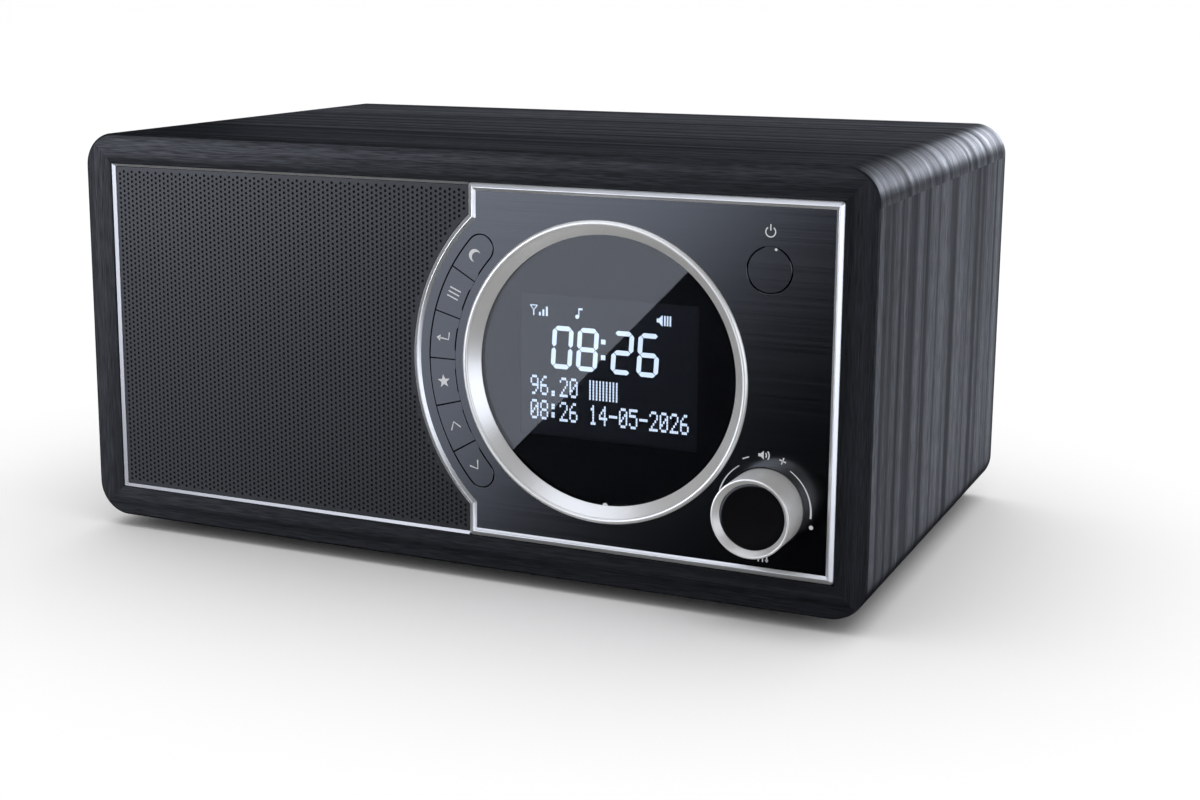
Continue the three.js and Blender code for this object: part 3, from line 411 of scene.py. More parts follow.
def streaks_group():
    """Long streaks along the first axis of a coordinate: wood figure, brushing, drawn metal."""
    tree, source, out = group(
        "Streaks",
        [("Vector", "NodeSocketVector", None), ("Along", "NodeSocketFloat", 6.0),
         ("Across", "NodeSocketFloat", 600.0), ("Detail", "NodeSocketFloat", 3.0),
         ("Contrast", "NodeSocketFloat", 0.25), ("Shift", "NodeSocketFloat", 0.0)],
        [("Value", "NodeSocketFloat")],
    )
    scale = node(tree, "ShaderNodeCombineXYZ")
    stretch = node(tree, "ShaderNodeVectorMath", operation="MULTIPLY")
    shift = node(tree, "ShaderNodeVectorMath", operation="ADD")
    noise = node(tree, "ShaderNodeTexNoise", Scale=1.0, Roughness=0.55)
    given, link = source.outputs, tree.links.new
    link(given["Along"], scale.inputs["X"])
    link(given["Across"], scale.inputs["Y"])
    link(given["Across"], scale.inputs["Z"])
    link(given["Vector"], stretch.inputs[0])
    link(scale.outputs[0], stretch.inputs[1])
    link(stretch.outputs[0], shift.inputs[0])
    link(given["Shift"], shift.inputs[1])
    link(shift.outputs[0], noise.inputs["Vector"])
    link(given["Detail"], noise.inputs["Detail"])
    return sharpened(tree, source, noise, out)


def grain_group():
    """Even grain: moulded texture, cast metal, dust and handling marks."""
    tree, source, out = group(
        "Even grain",
        [("Vector", "NodeSocketVector", None), ("Scale", "NodeSocketFloat", 2000.0),
         ("Detail", "NodeSocketFloat", 2.0), ("Contrast", "NodeSocketFloat", 0.25)],
        [("Value", "NodeSocketFloat")],
    )
    noise = node(tree, "ShaderNodeTexNoise", Roughness=0.6)
    for name in ("Vector", "Scale", "Detail"):
        tree.links.new(source.outputs[name], noise.inputs[name])
    return sharpened(tree, source, noise, out)


STREAKS = streaks_group()
GRAIN = grain_group()


class Finish:
    """A material under construction: its tree, its shader and its coordinates."""

    def __init__(self, name, **constants):
        self.material = bpy.data.materials.new(name)
        self.material.use_nodes = True
        self.tree = self.material.node_tree
        self.shader = self.tree.nodes["Principled BSDF"]
        self.place = node(self.tree, "ShaderNodeTexCoord")
        for key, value in constants.items():
            self.shader.inputs[key.replace("_", " ")].default_value = value

    def link(self, a, b):
        self.tree.links.new(a, b)

    def pattern(self, tree, coordinate="Object", turn=(0, 0, 0), **values):
        """One of the shared patterns on this material's coordinates."""
        made = node(self.tree, "ShaderNodeGroup")
        made.node_tree = tree
        for key, value in values.items():
            made.inputs[key].default_value = value
        source = self.place.outputs[coordinate]
        if any(turn):
            mapping = node(self.tree, "ShaderNodeMapping", Rotation=turn)
            self.link(source, mapping.inputs["Vector"])
            source = mapping.outputs[0]
        self.link(source, made.inputs["Vector"])
        return made.outputs["Value"]

    def mixed(self, mask, dark, light):
        """A colour that goes from dark to light with a mask."""
        mix = node(self.tree, "ShaderNodeMix", data_type="RGBA")
        self.link(mask, mix.inputs[0])
        for socket, colour in ((mix.inputs[6], dark), (mix.inputs[7], light)):
            if isinstance(colour, tuple):
                socket.default_value = (*colour, 1)
            else:
                self.link(colour, socket)
        return mix.outputs[2]

    def ranged(self, mask, low, high):
        spread = node(self.tree, "ShaderNodeMapRange")
        spread.inputs["To Min"].default_value = low
        spread.inputs["To Max"].default_value = high
        self.link(mask, spread.inputs["Value"])
        return spread.outputs[0]

    def product(self, a, b):
        made = node(self.tree, "ShaderNodeMath", operation="MULTIPLY")
        self.link(a, made.inputs[0])
        self.link(b, made.inputs[1])
        return made.outputs[0]

    def colour(self, socket):
        self.link(socket, self.shader.inputs["Base Color"])

    def roughness(self, mask, low, high):
        self.link(self.ranged(mask, low, high), self.shader.inputs["Roughness"])

    def bump(self, height, depth, strength=1.0):
        made = node(self.tree, "ShaderNodeBump")
        made.inputs["Strength"].default_value = strength
        made.inputs["Distance"].default_value = depth
        self.link(height, made.inputs["Height"])
        self.link(made.outputs[0], self.shader.inputs["Normal"])


def black_wood():
    """Printed wood-grain wrap: broad figure, fine fibres and short open pores under satin lacquer."""
    f = Finish("Black wood wrap", Specular_IOR_Level=0.1, Coat_Roughness=0.34, Coat_IOR=1.27)
    broad = f.pattern(STREAKS, "UV", Along=2.0, Across=170.0, Detail=8.0, Contrast=0.11)
    fibre = f.pattern(STREAKS, "UV", Along=30.0, Across=1300.0, Detail=4.0, Contrast=0.16, Shift=3.7)
    pores = f.pattern(STREAKS, "UV", Along=150.0, Across=3000.0, Detail=2.0, Contrast=0.14, Shift=8.1)
    figure = f.mixed(broad, (0.0025, 0.0027, 0.0034), (0.013, 0.0145, 0.0195))
    fleck = f.mixed(pores, (0.003, 0.0033, 0.0043), (0.024, 0.027, 0.036))
    f.colour(f.mixed(f.ranged(fibre, 0.1, 0.6), figure, fleck))
    f.roughness(f.product(broad, pores), 0.52, 0.34)
    lacquer = f.ranged(f.product(broad, f.ranged(pores, 0.3, 1.0)), 0.05, 1.0)
    f.link(lacquer, f.shader.inputs["Coat Weight"])
    f.bump(pores, 0.05 * MM, 0.5)
    return f.material


def brushed(name, dark, light, low, high, metallic=1.0, anisotropy=0.7, across=5200.0):
    """Metal brushed from left to right."""
    f = Finish(name, Metallic=metallic, Anisotropic=anisotropy)
    lines = f.pattern(STREAKS, Along=14.0, Across=across, Detail=2.0, Contrast=0.35)
    f.colour(f.mixed(lines, dark, light))
    f.roughness(lines, low, high)
    f.bump(lines, 0.007 * MM, 0.3)
    tangent = node(f.tree, "ShaderNodeTangent", direction_type="UV_MAP", uv_map="Brushing")
    f.link(tangent.outputs[0], f.shader.inputs["Tangent"])
    return f.material


def satin(name, dark, light, low, high, metallic=1.0, scale=900.0, depth=0.004 * MM, **constants):
    """A fine even finish: blasted or plated metal, moulded plastic, rubber, painted sheet."""
    f = Finish(name, Metallic=metallic, **constants)
    cloud = f.pattern(GRAIN, Scale=60.0, Detail=2.0, Contrast=0.3)
    f.colour(f.mixed(cloud, dark, light))
    if depth:
        grain = f.pattern(GRAIN, Scale=scale, Detail=3.0)
        f.roughness(f.product(grain, cloud), low, high)
        f.bump(grain, depth, 0.4)
    else:
        f.roughness(cloud, low, high)
    return f.material


def drawn(name, dark, light, low, high, turn=(0, 0, 0), along=40.0, across=6000.0):
    """Polished metal with faint lines in one direction: tubes, shafts and sawn wood."""
    f = Finish(name, Metallic=1.0)
    lines = f.pattern(STREAKS, turn=turn, Along=along, Across=across, Detail=2.0)
    smudge = f.pattern(GRAIN, Scale=140.0, Detail=2.0, Contrast=0.2)
    f.colour(f.mixed(smudge, dark, light))
    f.roughness(f.product(lines, smudge), low, high)
    f.bump(lines, 0.003 * MM, 0.25)
    return f.material


def smoked_glass():
    """The display's window: clear plastic with a grey tint and faint smudges."""
    f = Finish("Smoked window", Transmission_Weight=1.0, IOR=1.49, Metallic=0.0)
    f.shader.inputs["Base Color"].default_value = (0.62, 0.64, 0.68, 1)
    smudge = f.pattern(GRAIN, Scale=50.0, Detail=3.0, Contrast=0.2)
    f.roughness(smudge, 0.0, 0.012)
    return f.material


def glowing(name, colour, strength):
    """Lit display marks, a little uneven as the light behind them is."""
    f = Finish(name, Roughness=0.4, Emission_Strength=strength)
    f.shader.inputs["Base Color"].default_value = (0.02, 0.02, 0.025, 1)
    cloud = f.pattern(GRAIN, Scale=90.0, Detail=1.0, Contrast=0.3)
    tint = f.mixed(cloud, tuple(c * 0.9 for c in colour), colour)
    f.link(tint, f.shader.inputs["Emission Color"])
    return f.material


def printed(name, colour):
    """Screen-printed ink, a little grainy."""
    f = Finish(name)
    grain = f.pattern(GRAIN, Scale=3000.0, Detail=2.0)
    f.colour(f.mixed(grain, tuple(c * 0.88 for c in colour), colour))
    f.roughness(grain, 0.4, 0.55)
    return f.material


def woven(name, dark, light, pitch):
    """Fine plain cloth."""
    f = Finish(name, Sheen_Weight=0.2)
    grain = f.pattern(GRAIN, Scale=1 / pitch, Detail=2.0)
    warp = f.pattern(STREAKS, Along=60.0, Across=1.2 / pitch, Detail=1.0)
    f.colour(f.mixed(f.product(grain, warp), dark, light))
    f.roughness(grain, 0.8, 0.95)
    f.bump(grain, 0.1 * MM, 0.6)
    return f.material


def sawn_wood():
    """Bare softwood with its year rings."""
    f = Finish("Sawn batten")
    rings = f.pattern(STREAKS, Along=9.0, Across=300.0, Detail=3.0)
    f.colour(f.mixed(rings, (0.42, 0.28, 0.15), (0.62, 0.45, 0.27)))
    f.roughness(rings, 0.65, 0.85)
    f.bump(rings, 0.1 * MM, 0.5)
    return f.material


def circuit_green():
    """Solder mask with copper showing faintly through."""
    f = Finish("Circuit board")
    tracks = f.pattern(GRAIN, Scale=260.0, Detail=0.0, Contrast=0.06)
    f.colour(f.mixed(tracks, (0.006, 0.06, 0.028), (0.012, 0.11, 0.05)))
    f.roughness(tracks, 0.28, 0.4)
    f.bump(tracks, 0.03 * MM, 0.5)
    return f.material


wood = black_wood()
silver = satin("Satin silver", (0.83, 0.825, 0.81), (0.88, 0.875, 0.86), 0.31, 0.35, metallic=0.5, depth=0)
bright_silver = satin("Bright silver", (0.78, 0.78, 0.78), (0.84, 0.84, 0.84), 0.3, 0.33,
                      metallic=0.75, depth=0)
trim_silver = satin("Trim silver", (0.7, 0.7, 0.71), (0.78, 0.78, 0.79), 0.3, 0.33, metallic=0.75, depth=0)
panel_metal = brushed("Brushed dark panel", (0.066, 0.069, 0.074), (0.1, 0.104, 0.112), 0.13, 0.2)
grille_paint = satin("Grille paint", (0.009, 0.01, 0.0125), (0.014, 0.0155, 0.019), 0.3, 0.36, metallic=0.0,
                     depth=0, Specular_IOR_Level=0.3)
cloth = woven("Grille cloth", (0.002, 0.002, 0.002), (0.006, 0.006, 0.006), 0.35 * MM)
black_plastic = satin("Black plastic", (0.012, 0.012, 0.013), (0.02, 0.02, 0.022), 0.45, 0.62,
                      metallic=0.0, scale=1600.0, depth=0.03 * MM)
gloss_black = satin("Gloss black", (0.004, 0.004, 0.005), (0.007, 0.007, 0.008), 0.05, 0.12, metallic=0.0,
                    depth=0)
mask_black = satin("Window mask", (0.004, 0.0042, 0.005), (0.006, 0.0063, 0.0075), 0.3, 0.4, metallic=0.0,
                   depth=0, Specular_IOR_Level=0.2)
glass = smoked_glass()
lcd_cell = satin("Display cell", (0.004, 0.006, 0.01), (0.007, 0.01, 0.016), 0.3, 0.45, metallic=0.0)
lit = glowing("Lit display", (0.7, 0.82, 1.0), 1.9)
light_guide = satin("Light guide", (0.7, 0.75, 0.8), (0.8, 0.84, 0.88), 0.4, 0.5, metallic=0.0)
white_ink = printed("White ink", (0.72, 0.73, 0.75))
board_green = circuit_green()
steel = satin("Zinc plate", (0.42, 0.43, 0.44), (0.55, 0.56, 0.57), 0.28, 0.42)
ferrite = satin("Ferrite", (0.03, 0.03, 0.032), (0.05, 0.05, 0.052), 0.6, 0.8, metallic=0.0)
paper = woven("Cone paper", (0.012, 0.012, 0.013), (0.03, 0.03, 0.032), 0.9 * MM)
batten = sawn_wood()
rubber = satin("Foot rubber", (0.008, 0.008, 0.008), (0.014, 0.014, 0.014), 0.75, 0.9, metallic=0.0,
               scale=1200.0, depth=0.05 * MM)
chrome = drawn("Antenna chrome", (0.72, 0.73, 0.74), (0.82, 0.83, 0.84), 0.08, 0.2)
sheath = satin("Cable sheath", (0.28, 0.29, 0.3), (0.36, 0.37, 0.38), 0.5, 0.65, metallic=0.0)


# ---- cabinet ------------------------------------------------------------------------------------
def cabinet_path(steps=8):
    """Points round the cabinet, each as (outer, inner), with the mitre at each corner."""
    half_width = (cabinet_high.x - cabinet_low.x) / 2
    centre = middle(cabinet_low, cabinet_high)
    half_height = (cabinet_high.z - cabinet_low.z) / 2
    quarter = []
    pivot = (half_width - CORNER_RADIUS, half_height - CORNER_RADIUS)
    opening = (half_width - WALL, half_height - WALL)
    slack = CORNER_RADIUS - WALL
    for i in range(2 * steps + 1):
        angle = math.pi / 4 * i / steps
        outer = (pivot[0] + CORNER_RADIUS * math.cos(angle), pivot[1] + CORNER_RADIUS * math.sin(angle))
        along = i / steps
        if i <= steps:
            inner = (opening[0], opening[1] - slack * (1 - along))
        else:
            inner = (opening[0] - slack * (along - 1), opening[1])
        quarter.append((outer, inner))
    step = 0.4 * MM
    quarter.insert(0, ((half_width, pivot[1] - step), (opening[0], quarter[0][1][1] - step)))
    quarter.append(((pivot[0] - step, half_height), (quarter[-1][1][0] - step, opening[1])))
    path = []
    for sx, sz in ((1, 1), (-1, 1), (-1, -1), (1, -1)):
        points = quarter if sx * sz > 0 else quarter[::-1]
        path += [tuple((centre[0] + sx * p[0], centre[1] + sz * p[1]) for p in pair) for pair in points]
    return path


def cabinet_section(outer, inner):
    """The wall's section at one point of the path, from the back outer edge round to the back inner edge."""
    out, into = Vector(outer), Vector(inner)
    inward = (into - out).normalized()
    ease, lip, back_ease = 0.55 * MM, 0.2 * MM, 0.4 * MM
    section = [(out + inward * back_ease, cabinet_high.y), (out, cabinet_high.y - back_ease)]
    for k in range(5):
        angle = math.pi / 2 * k / 4
        section.append((out + inward * ease * (1 - math.cos(angle)), FRONT + ease * (1 - math.sin(angle))))
    section += [(into - inward * lip, FRONT), (into, FRONT + lip)]
    section += [(into, cabinet_high.y - lip), (into - inward * lip, cabinet_high.y)]
    return section


FRONT_EDGE_END = 6  # in a section, the first side past the rounded front edge


def wrapped_cabinet():
    """One band of wrap round the four sides, its grain running round the corners, and mitred edges."""
    path = cabinet_path()
    count = len(path)
    sections = [cabinet_section(*pair) for pair in path]
    size = len(sections[0])
    lengths = [0.0]
    for i in range(count):
        a, b = Vector(path[i][0]), Vector(path[(i + 1) % count][0])
        lengths.append(lengths[-1] + (b - a).length)
    form = bmesh.new()
    layer = form.loops.layers.uv.new("Wrap")
    rows = [[form.verts.new((p.x, y, p.y)) for p, y in section] for section in sections]
    centre = Vector(middle(cabinet_low, cabinet_high))
    for i in range(count):
        n = (i + 1) % count
        for k in range(size):
            m = (k + 1) % size
            face = form.faces.new([rows[i][k], rows[n][k], rows[n][m], rows[i][m]])
            flat = k >= FRONT_EDGE_END
            mid = face.calc_center_median()
            off = Vector((mid.x, mid.z)) - centre
            half = Vector((cabinet_high.x - centre.x, cabinet_high.z - centre.y))
            side_band = half.x - abs(off.x) < half.y - abs(off.y)
            for loop in face.loops:
                co = loop.vert.co
                at = i if loop.vert in rows[i] else i + 1
                if not flat:
                    loop[layer].uv = (lengths[at], co.y)
                elif side_band:
                    loop[layer].uv = (co.z + 1.0, co.x + 2.0)
                else:
                    loop[layer].uv = (co.x + 1.5, co.z + 3.0)
    bmesh.ops.recalc_face_normals(form, faces=form.faces)
    mesh = bpy.data.meshes.new("cabinet_shell")
    form.to_mesh(mesh)
    form.free()
    mesh.materials.append(wood)
    return settled(shown("cabinet_shell", mesh), "radio", ["cabinet"], 40)


def rubber_feet():
    """Four round pads with a hollow underneath."""
    for side in ("front_left", "front_right", "rear_left", "rear_right"):
        low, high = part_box("foot_" + side)
        centre_x, centre_y = (low.x + high.x) / 2, (low.y + high.y) / 2
        radius = (high.x - low.x) / 2
        tall = high.z - low.z
        flat = radius - 0.6 * MM
        profile = [(0, tall), (radius, tall), (radius, tall * 0.4), (radius - 0.15 * MM, tall * 0.2),
                   (flat - 0.1 * MM, 0.05 * MM), (flat - 0.5 * MM, 0), (radius * 0.45, 0),
                   (radius * 0.42, 0.5 * MM), (0, 0.5 * MM)]
        points, faces = turned(profile, (0, 0), 48)
        standing = [(centre_x + x, centre_y + z, low.z + y) for x, y, z in points]
        piece("foot_pad_" + side, (standing, faces), rubber, stands_for=["foot_" + side])


# ---- grille -------------------------------------------------------------------------------------
def grille_outline():
    """The grille's edge: straight round three sides, and a shadow gap off the panel on the right."""
    gap = GRILLE_GAP
    left, bottom, top = grille_low.x, grille_low.z, grille_high.z
    panel_left = DIAL[0] - BULGE_RADIUS * math.cos(BULGE_HALF_ANGLE) - gap
    bulge = BULGE_RADIUS + gap
    turn = math.acos((DIAL[0] - panel_left) / bulge)
    curve = arc(DIAL, bulge, math.pi + turn, math.pi - turn, 72)
    return [(left, bottom), (panel_left, bottom), *curve, (panel_left, top), (left, top)]


def perforation_cell():
    """One six-sided cell of the sheet with its hole through it, to be repeated edge to edge."""
    pitch = GRILLE_PITCH
    rim = [(5 / 8, 0), (3 / 8, 1 / 2), (-3 / 8, 1 / 2), (-5 / 8, 0), (-3 / 8, -1 / 2), (3 / 8, -1 / 2)]
    edge = [(x * pitch, z * pitch) for x, z in rim]
    hole = circle((0, 0), GRILLE_HOLE_RADIUS, 6)
    loops = [(edge, 0), (hole, 0), (hole, GRILLE_SHEET), (edge, GRILLE_SHEET)]
    points, faces = lofted(loops, closed=False)
    mesh = bpy.data.meshes.new("perforation_cell")
    mesh.from_pydata(points, [], faces)
    return bpy.data.objects.new("perforation_cell", mesh)


def perforation_tree():
    """Cells in staggered columns over the area that the panel leaves free."""
    tree = bpy.data.node_groups.new("Staggered perforations", "GeometryNodeTree")
    names = ("Left", "Right", "Bottom", "Top", "Pitch", "Dial x", "Dial z", "Bulge radius", "Panel left")
    sockets = [("Geometry", "Geometry"), *((name, "Float") for name in names), ("Cell", "Object"),
               ("Material", "Material")]
    for name, kind in sockets:
        tree.interface.new_socket(name, in_out="INPUT", socket_type="NodeSocket" + kind)
    tree.interface.new_socket("Geometry", in_out="OUTPUT", socket_type="NodeSocketGeometry")
    source, out = tree.nodes.new("NodeGroupInput"), tree.nodes.new("NodeGroupOutput")

    def put(value, socket):
        if isinstance(value, (int, float)):
            socket.default_value = value
        else:
            tree.links.new(value, socket)

    def built(kind, output=0, **inputs):
        made = tree.nodes.new(kind)
        for name, value in inputs.items():
            put(value, made.inputs[name.replace("_", " ")])
        return made.outputs[output]

    def calc(operation, a, b=0.0):
        made = node(tree, "ShaderNodeMath", operation=operation)
        put(a, made.inputs[0])
        put(b, made.inputs[1])
        return made.outputs[0]

    given = source.outputs
    pitch = given["Pitch"]

    def cells_between(low, high):
        steps = calc("DIVIDE", calc("SUBTRACT", given[high], given[low]), pitch)
        return calc("ADD", calc("FLOOR", steps), 1)

    def reach(count):
        return calc("MULTIPLY", calc("SUBTRACT", count, 1), pitch)

    def centre(low, high):
        return calc("DIVIDE", calc("ADD", given[low], given[high]), 2)

    def place_parts():
        apart = node(tree, "ShaderNodeSeparateXYZ")
        put(built("GeometryNodeInputPosition"), apart.inputs[0])
        return apart.outputs

    columns, rows = cells_between("Left", "Right"), cells_between("Bottom", "Top")
    grid = built("GeometryNodeMeshGrid", "Mesh", Size_X=reach(columns), Size_Y=reach(rows),
                 Vertices_X=columns, Vertices_Y=rows)
    flat = place_parts()
    half = calc("DIVIDE", reach(columns), 2)
    column = calc("ROUND", calc("DIVIDE", calc("ADD", flat["X"], half), pitch))
    odd = calc("MODULO", column, 2)
    stagger = calc("MULTIPLY", calc("SUBTRACT", odd, 0.5), calc("DIVIDE", pitch, 2))
    x = calc("ADD", flat["X"], centre("Left", "Right"))
    z = calc("ADD", calc("ADD", flat["Y"], centre("Bottom", "Top")), stagger)
    stood = built("GeometryNodeSetPosition", Geometry=grid, Position=built("ShaderNodeCombineXYZ", X=x, Z=z))

    now = place_parts()
    dx = calc("SUBTRACT", now["X"], given["Dial x"])
    dz = calc("SUBTRACT", now["Z"], given["Dial z"])
    distance = calc("SQRT", calc("ADD", calc("MULTIPLY", dx, dx), calc("MULTIPLY", dz, dz)))
    under_bulge = calc("LESS_THAN", distance, given["Bulge radius"])
    under_panel = calc("GREATER_THAN", now["X"], given["Panel left"])
    taken = calc("MAXIMUM", under_bulge, under_panel)
    trimmed = built("GeometryNodeDeleteGeometry", Geometry=stood, Selection=taken)

    cell = built("GeometryNodeObjectInfo", "Geometry", Object=given["Cell"])
    copies = built("GeometryNodeInstanceOnPoints", Points=trimmed, Instance=cell)
    real = built("GeometryNodeRealizeInstances", Geometry=copies)
    weld = built("GeometryNodeMergeByDistance", Geometry=real, Distance=0.01 * MM)
    put(built("GeometryNodeSetMaterial", Geometry=weld, Material=given["Material"]), out.inputs[0])
    return tree


def set_inputs(modifier, **values):
    """Gives a Geometry Nodes modifier its named inputs through their identifiers."""
    for item in modifier.node_group.interface.items_tree:
        key = item.name.replace(" ", "_")
        if item.in_out == "INPUT" and key in values:
            modifier[item.identifier] = values[key]


def open_loops(form, y):
    """The vertices along each open edge of the sheet at one depth, in order."""
    ahead = {}
    for edge in form.edges:
        if edge.is_boundary and all(abs(v.co.y - y) < 0.1 * MM for v in edge.verts):
            for v in edge.verts:
                ahead.setdefault(v, []).append(edge.other_vert(v))
    loops = []
    while ahead:
        start = next(iter(ahead))
        loop = [start]
        before, now = start, ahead[start][0]
        while now is not start:
            loop.append(now)
            a, b = ahead[now]
            before, now = now, (b if a is before else a)
        for v in loop:
            del ahead[v]
        loops.append(loop)
    return loops


def perforated_grille():
    """The steel sheet: the repeated cells, a plain margin round them, and black cloth behind."""
    sheet = shown("perforated_grille", bpy.data.meshes.new("perforated_grille"))
    repeat = sheet.modifiers.new("Perforations", "NODES")
    repeat.node_group = perforation_tree()
    cell = perforation_cell()
    panel_left = DIAL[0] - BULGE_RADIUS * math.cos(BULGE_HALF_ANGLE) - GRILLE_GAP
    set_inputs(
        repeat, Left=grille_low.x + GRILLE_MARGIN, Right=grille_high.x - GRILLE_MARGIN,
        Bottom=grille_low.z + GRILLE_MARGIN + GRILLE_PITCH / 4,
        Top=grille_high.z - GRILLE_MARGIN - GRILLE_PITCH / 4, Pitch=GRILLE_PITCH, Dial_x=DIAL[0],
        Dial_z=DIAL[1], Bulge_radius=BULGE_RADIUS + GRILLE_GAP + GRILLE_MARGIN,
        Panel_left=panel_left - GRILLE_MARGIN, Cell=cell, Material=grille_paint)
    made_plain(sheet)
    form = bmesh.new()
    form.from_mesh(sheet.data)
    rims = []
    for y in (0.0, GRILLE_SHEET):
        rim = [form.verts.new((x, y, z)) for x, z in grille_outline()]
        loops = [rim, *open_loops(form, y)]
        corners = [vertex for loop in loops for vertex in loop]
        for triangle in triangles_between([[(v.co.x, v.co.z) for v in loop] for loop in loops]):
            form.faces.new([corners[i] for i in triangle])
        rims.append(rim)
    for i in range(len(rims[0])):
        form.faces.new([rims[0][i - 1], rims[0][i], rims[1][i], rims[1][i - 1]])
    for face in form.faces:
        face.material_index = 0
    bmesh.ops.recalc_face_normals(form, faces=form.faces)
    for vertex in form.verts:
        vertex.co.y += grille_low.y
    form.to_mesh(sheet.data)
    form.free()
    sheet.data.materials.clear()
    sheet.data.materials.append(grille_paint)
    bpy.data.objects.remove(cell)
    settled(sheet, "radio", ["speaker_grille"], 30)
    backing = plate([grille_outline()], grille_low.y + GRILLE_SHEET + 0.02 * MM, grille_high.y)
    piece("grille_cloth", backing, cloth)


def trim_strip():
    """A slim silver strip round three sides of the grille, its face sloping in towards the grille."""
    front, back = trim_low.y, trim_high.y
    slope_end = grille_low.y - 0.1 * MM
    path = [(trim_high.x, trim_high.z, 0, -1), (trim_low.x, trim_high.z, 1, -1),
            (trim_low.x, trim_low.z, 1, 1), (trim_high.x, trim_low.z, 0, 1)]
    points = []
    for x, z, in_x, in_z in path:
        for inset, y in ((0.12 * MM, front), (TRIM_WIDTH, slope_end), (TRIM_WIDTH, back), (0, back),
                         (0, front + 0.12 * MM)):
            points.append((x + in_x * inset, y, z + in_z * inset))
    faces = [[0, 1, 2, 3, 4], [19, 18, 17, 16, 15]]
    for i in (0, 5, 10):
        for k in range(5):
            n = (k + 1) % 5
            faces.append([i + k, i + n, i + 5 + n, i + 5 + k])
    piece("trim_strip", (points, faces), trim_silver, stands_for=["front_trim"], sharp=20)


# ---- control panel ------------------------------------------------------------------------------
def power_cap_outline(grow):
    """The power key's edge: round, but joined to the panel by a bridge at the top."""
    start, end = math.radians(72), math.radians(104)
    gap = arc(POWER, POWER_RADIUS + grow, end, start + TURN, 72)
    bridge = arc(POWER, POWER_RADIUS + KEY_GAP - 0.02 * MM, start, end, 12)
    return gap + bridge


def panel_loops(ease):
    """The panel's outline and its holes: the key strip, the display, the power key and the knob."""
    half = STRIP_HALF_ANGLE
    return [
        panel_outline(BEZEL_WIDTH - 0.02 * MM, BEZEL_CORNER),
        strip_outline(math.pi - half, math.pi + half, KEY_GAP + ease, True, True, 72),
        circle(DIAL, RING_RADIUS - 0.6 * MM, 128),
        circle(POWER, POWER_RADIUS + KEY_GAP + ease, 84),
        circle(KNOB, KNOB_RADIUS + KNOB_GAP + ease, 84),
    ]


def control_panel():
    """The brushed sheet with its openings."""
    shape = eased_plate(panel_loops(EASE), panel_loops(0), FACE, STACK_BACK, EASE)
    made = piece("panel_sheet", shape, panel_metal, stands_for=["control_panel"], sharp=20)
    front_uv(made)


def ridge_bezel():
    """A narrow ridge round the panel: its outer slope is a little wider than its inner one."""
    crest = FRONT
    profile = [
        (0, STACK_BACK), (0, FACE), (BEZEL_CREST - 0.22 * MM, crest + 0.09 * MM),
        (BEZEL_CREST - 0.1 * MM, crest + 0.015 * MM), (BEZEL_CREST, crest),
        (BEZEL_CREST + 0.1 * MM, crest + 0.02 * MM), (BEZEL_WIDTH - 0.06 * MM, FACE - 0.08 * MM),
        (BEZEL_WIDTH, FACE), (BEZEL_WIDTH, STACK_BACK),
    ]
    rings = [(panel_outline(inset, BEZEL_CORNER, 96), y) for inset, y in profile]
    piece("bezel_ridge", lofted(rings), bright_silver, stands_for=["panel_bezel"], sharp=18)


def display_ring():
    """A round bead on the panel, a cone running in behind it, and a rebate for the lens."""
    bead = 0.75 * MM
    crest_radius = RING_RADIUS - bead
    profile = [(RING_RADIUS, FACE)]
    for k in range(1, 10):
        angle = math.pi * k / 10
        base = FACE - 0.2 * MM * k / 10
        profile.append((crest_radius + bead * math.cos(angle), base - 0.62 * MM * math.sin(angle)))
    dish_inner = RING_RADIUS - 4.1 * MM
    profile += [
        (RING_RADIUS - 1.5 * MM, FACE - 0.2 * MM), (dish_inner + 0.1 * MM, FACE + 2.5 * MM),
        (dish_inner, FACE + 2.62 * MM), (dish_inner, lens_low.y), (LENS_RADIUS + 0.1 * MM, lens_low.y),
        (LENS_RADIUS + 0.1 * MM, ring_high.y), (RING_RADIUS - 0.8 * MM, ring_high.y),
        (RING_RADIUS - 0.8 * MM, FACE),
    ]
    piece("display_bezel_ring", turned(profile, DIAL, 160), silver,
          stands_for=["display_ring"], sharp=30)


def display_window():
    """The window with its printed mask behind it, the small lamp below, and the display's cell."""
    profile = [(0, lens_low.y), (LENS_RADIUS - 0.1 * MM, lens_low.y), (LENS_RADIUS, lens_low.y + 0.1 * MM),
               (LENS_RADIUS, lens_high.y), (0, lens_high.y)]
    piece("display_window", turned(profile, DIAL, 128), glass, stands_for=["display_lens"])
    window = rounded(rectangle(DIAL[0] - 24.9 * MM, DIAL[0] + 25.2 * MM, DIAL[1] - 18.9 * MM,
                               DIAL[1] + 18.9 * MM), 0.4 * MM)
    mask = plate([circle(DIAL, LENS_RADIUS - 0.3 * MM, 96), window], lens_high.y + 0.05 * MM,
                 lens_high.y + 0.25 * MM)
    piece("window_mask", mask, mask_black)
    white_dot = (DIAL[0] + 0.4 * MM, DIAL[1] - LENS_RADIUS + 1.7 * MM)
    spot = turned([(0, lens_low.y - 0.25 * MM), (0.5 * MM, lens_low.y - 0.2 * MM), (0.8 * MM, lens_low.y),
                   (0.8 * MM, lens_low.y + 0.05 * MM), (0, lens_low.y + 0.05 * MM)], white_dot, 24)
    piece("display_lamp", spot, white_ink)
    cell = box(lcd_low, lcd_high)
    piece("display_cell", cell, lcd_cell, stands_for=["lcd_glass"], bevel=0.1 * MM)


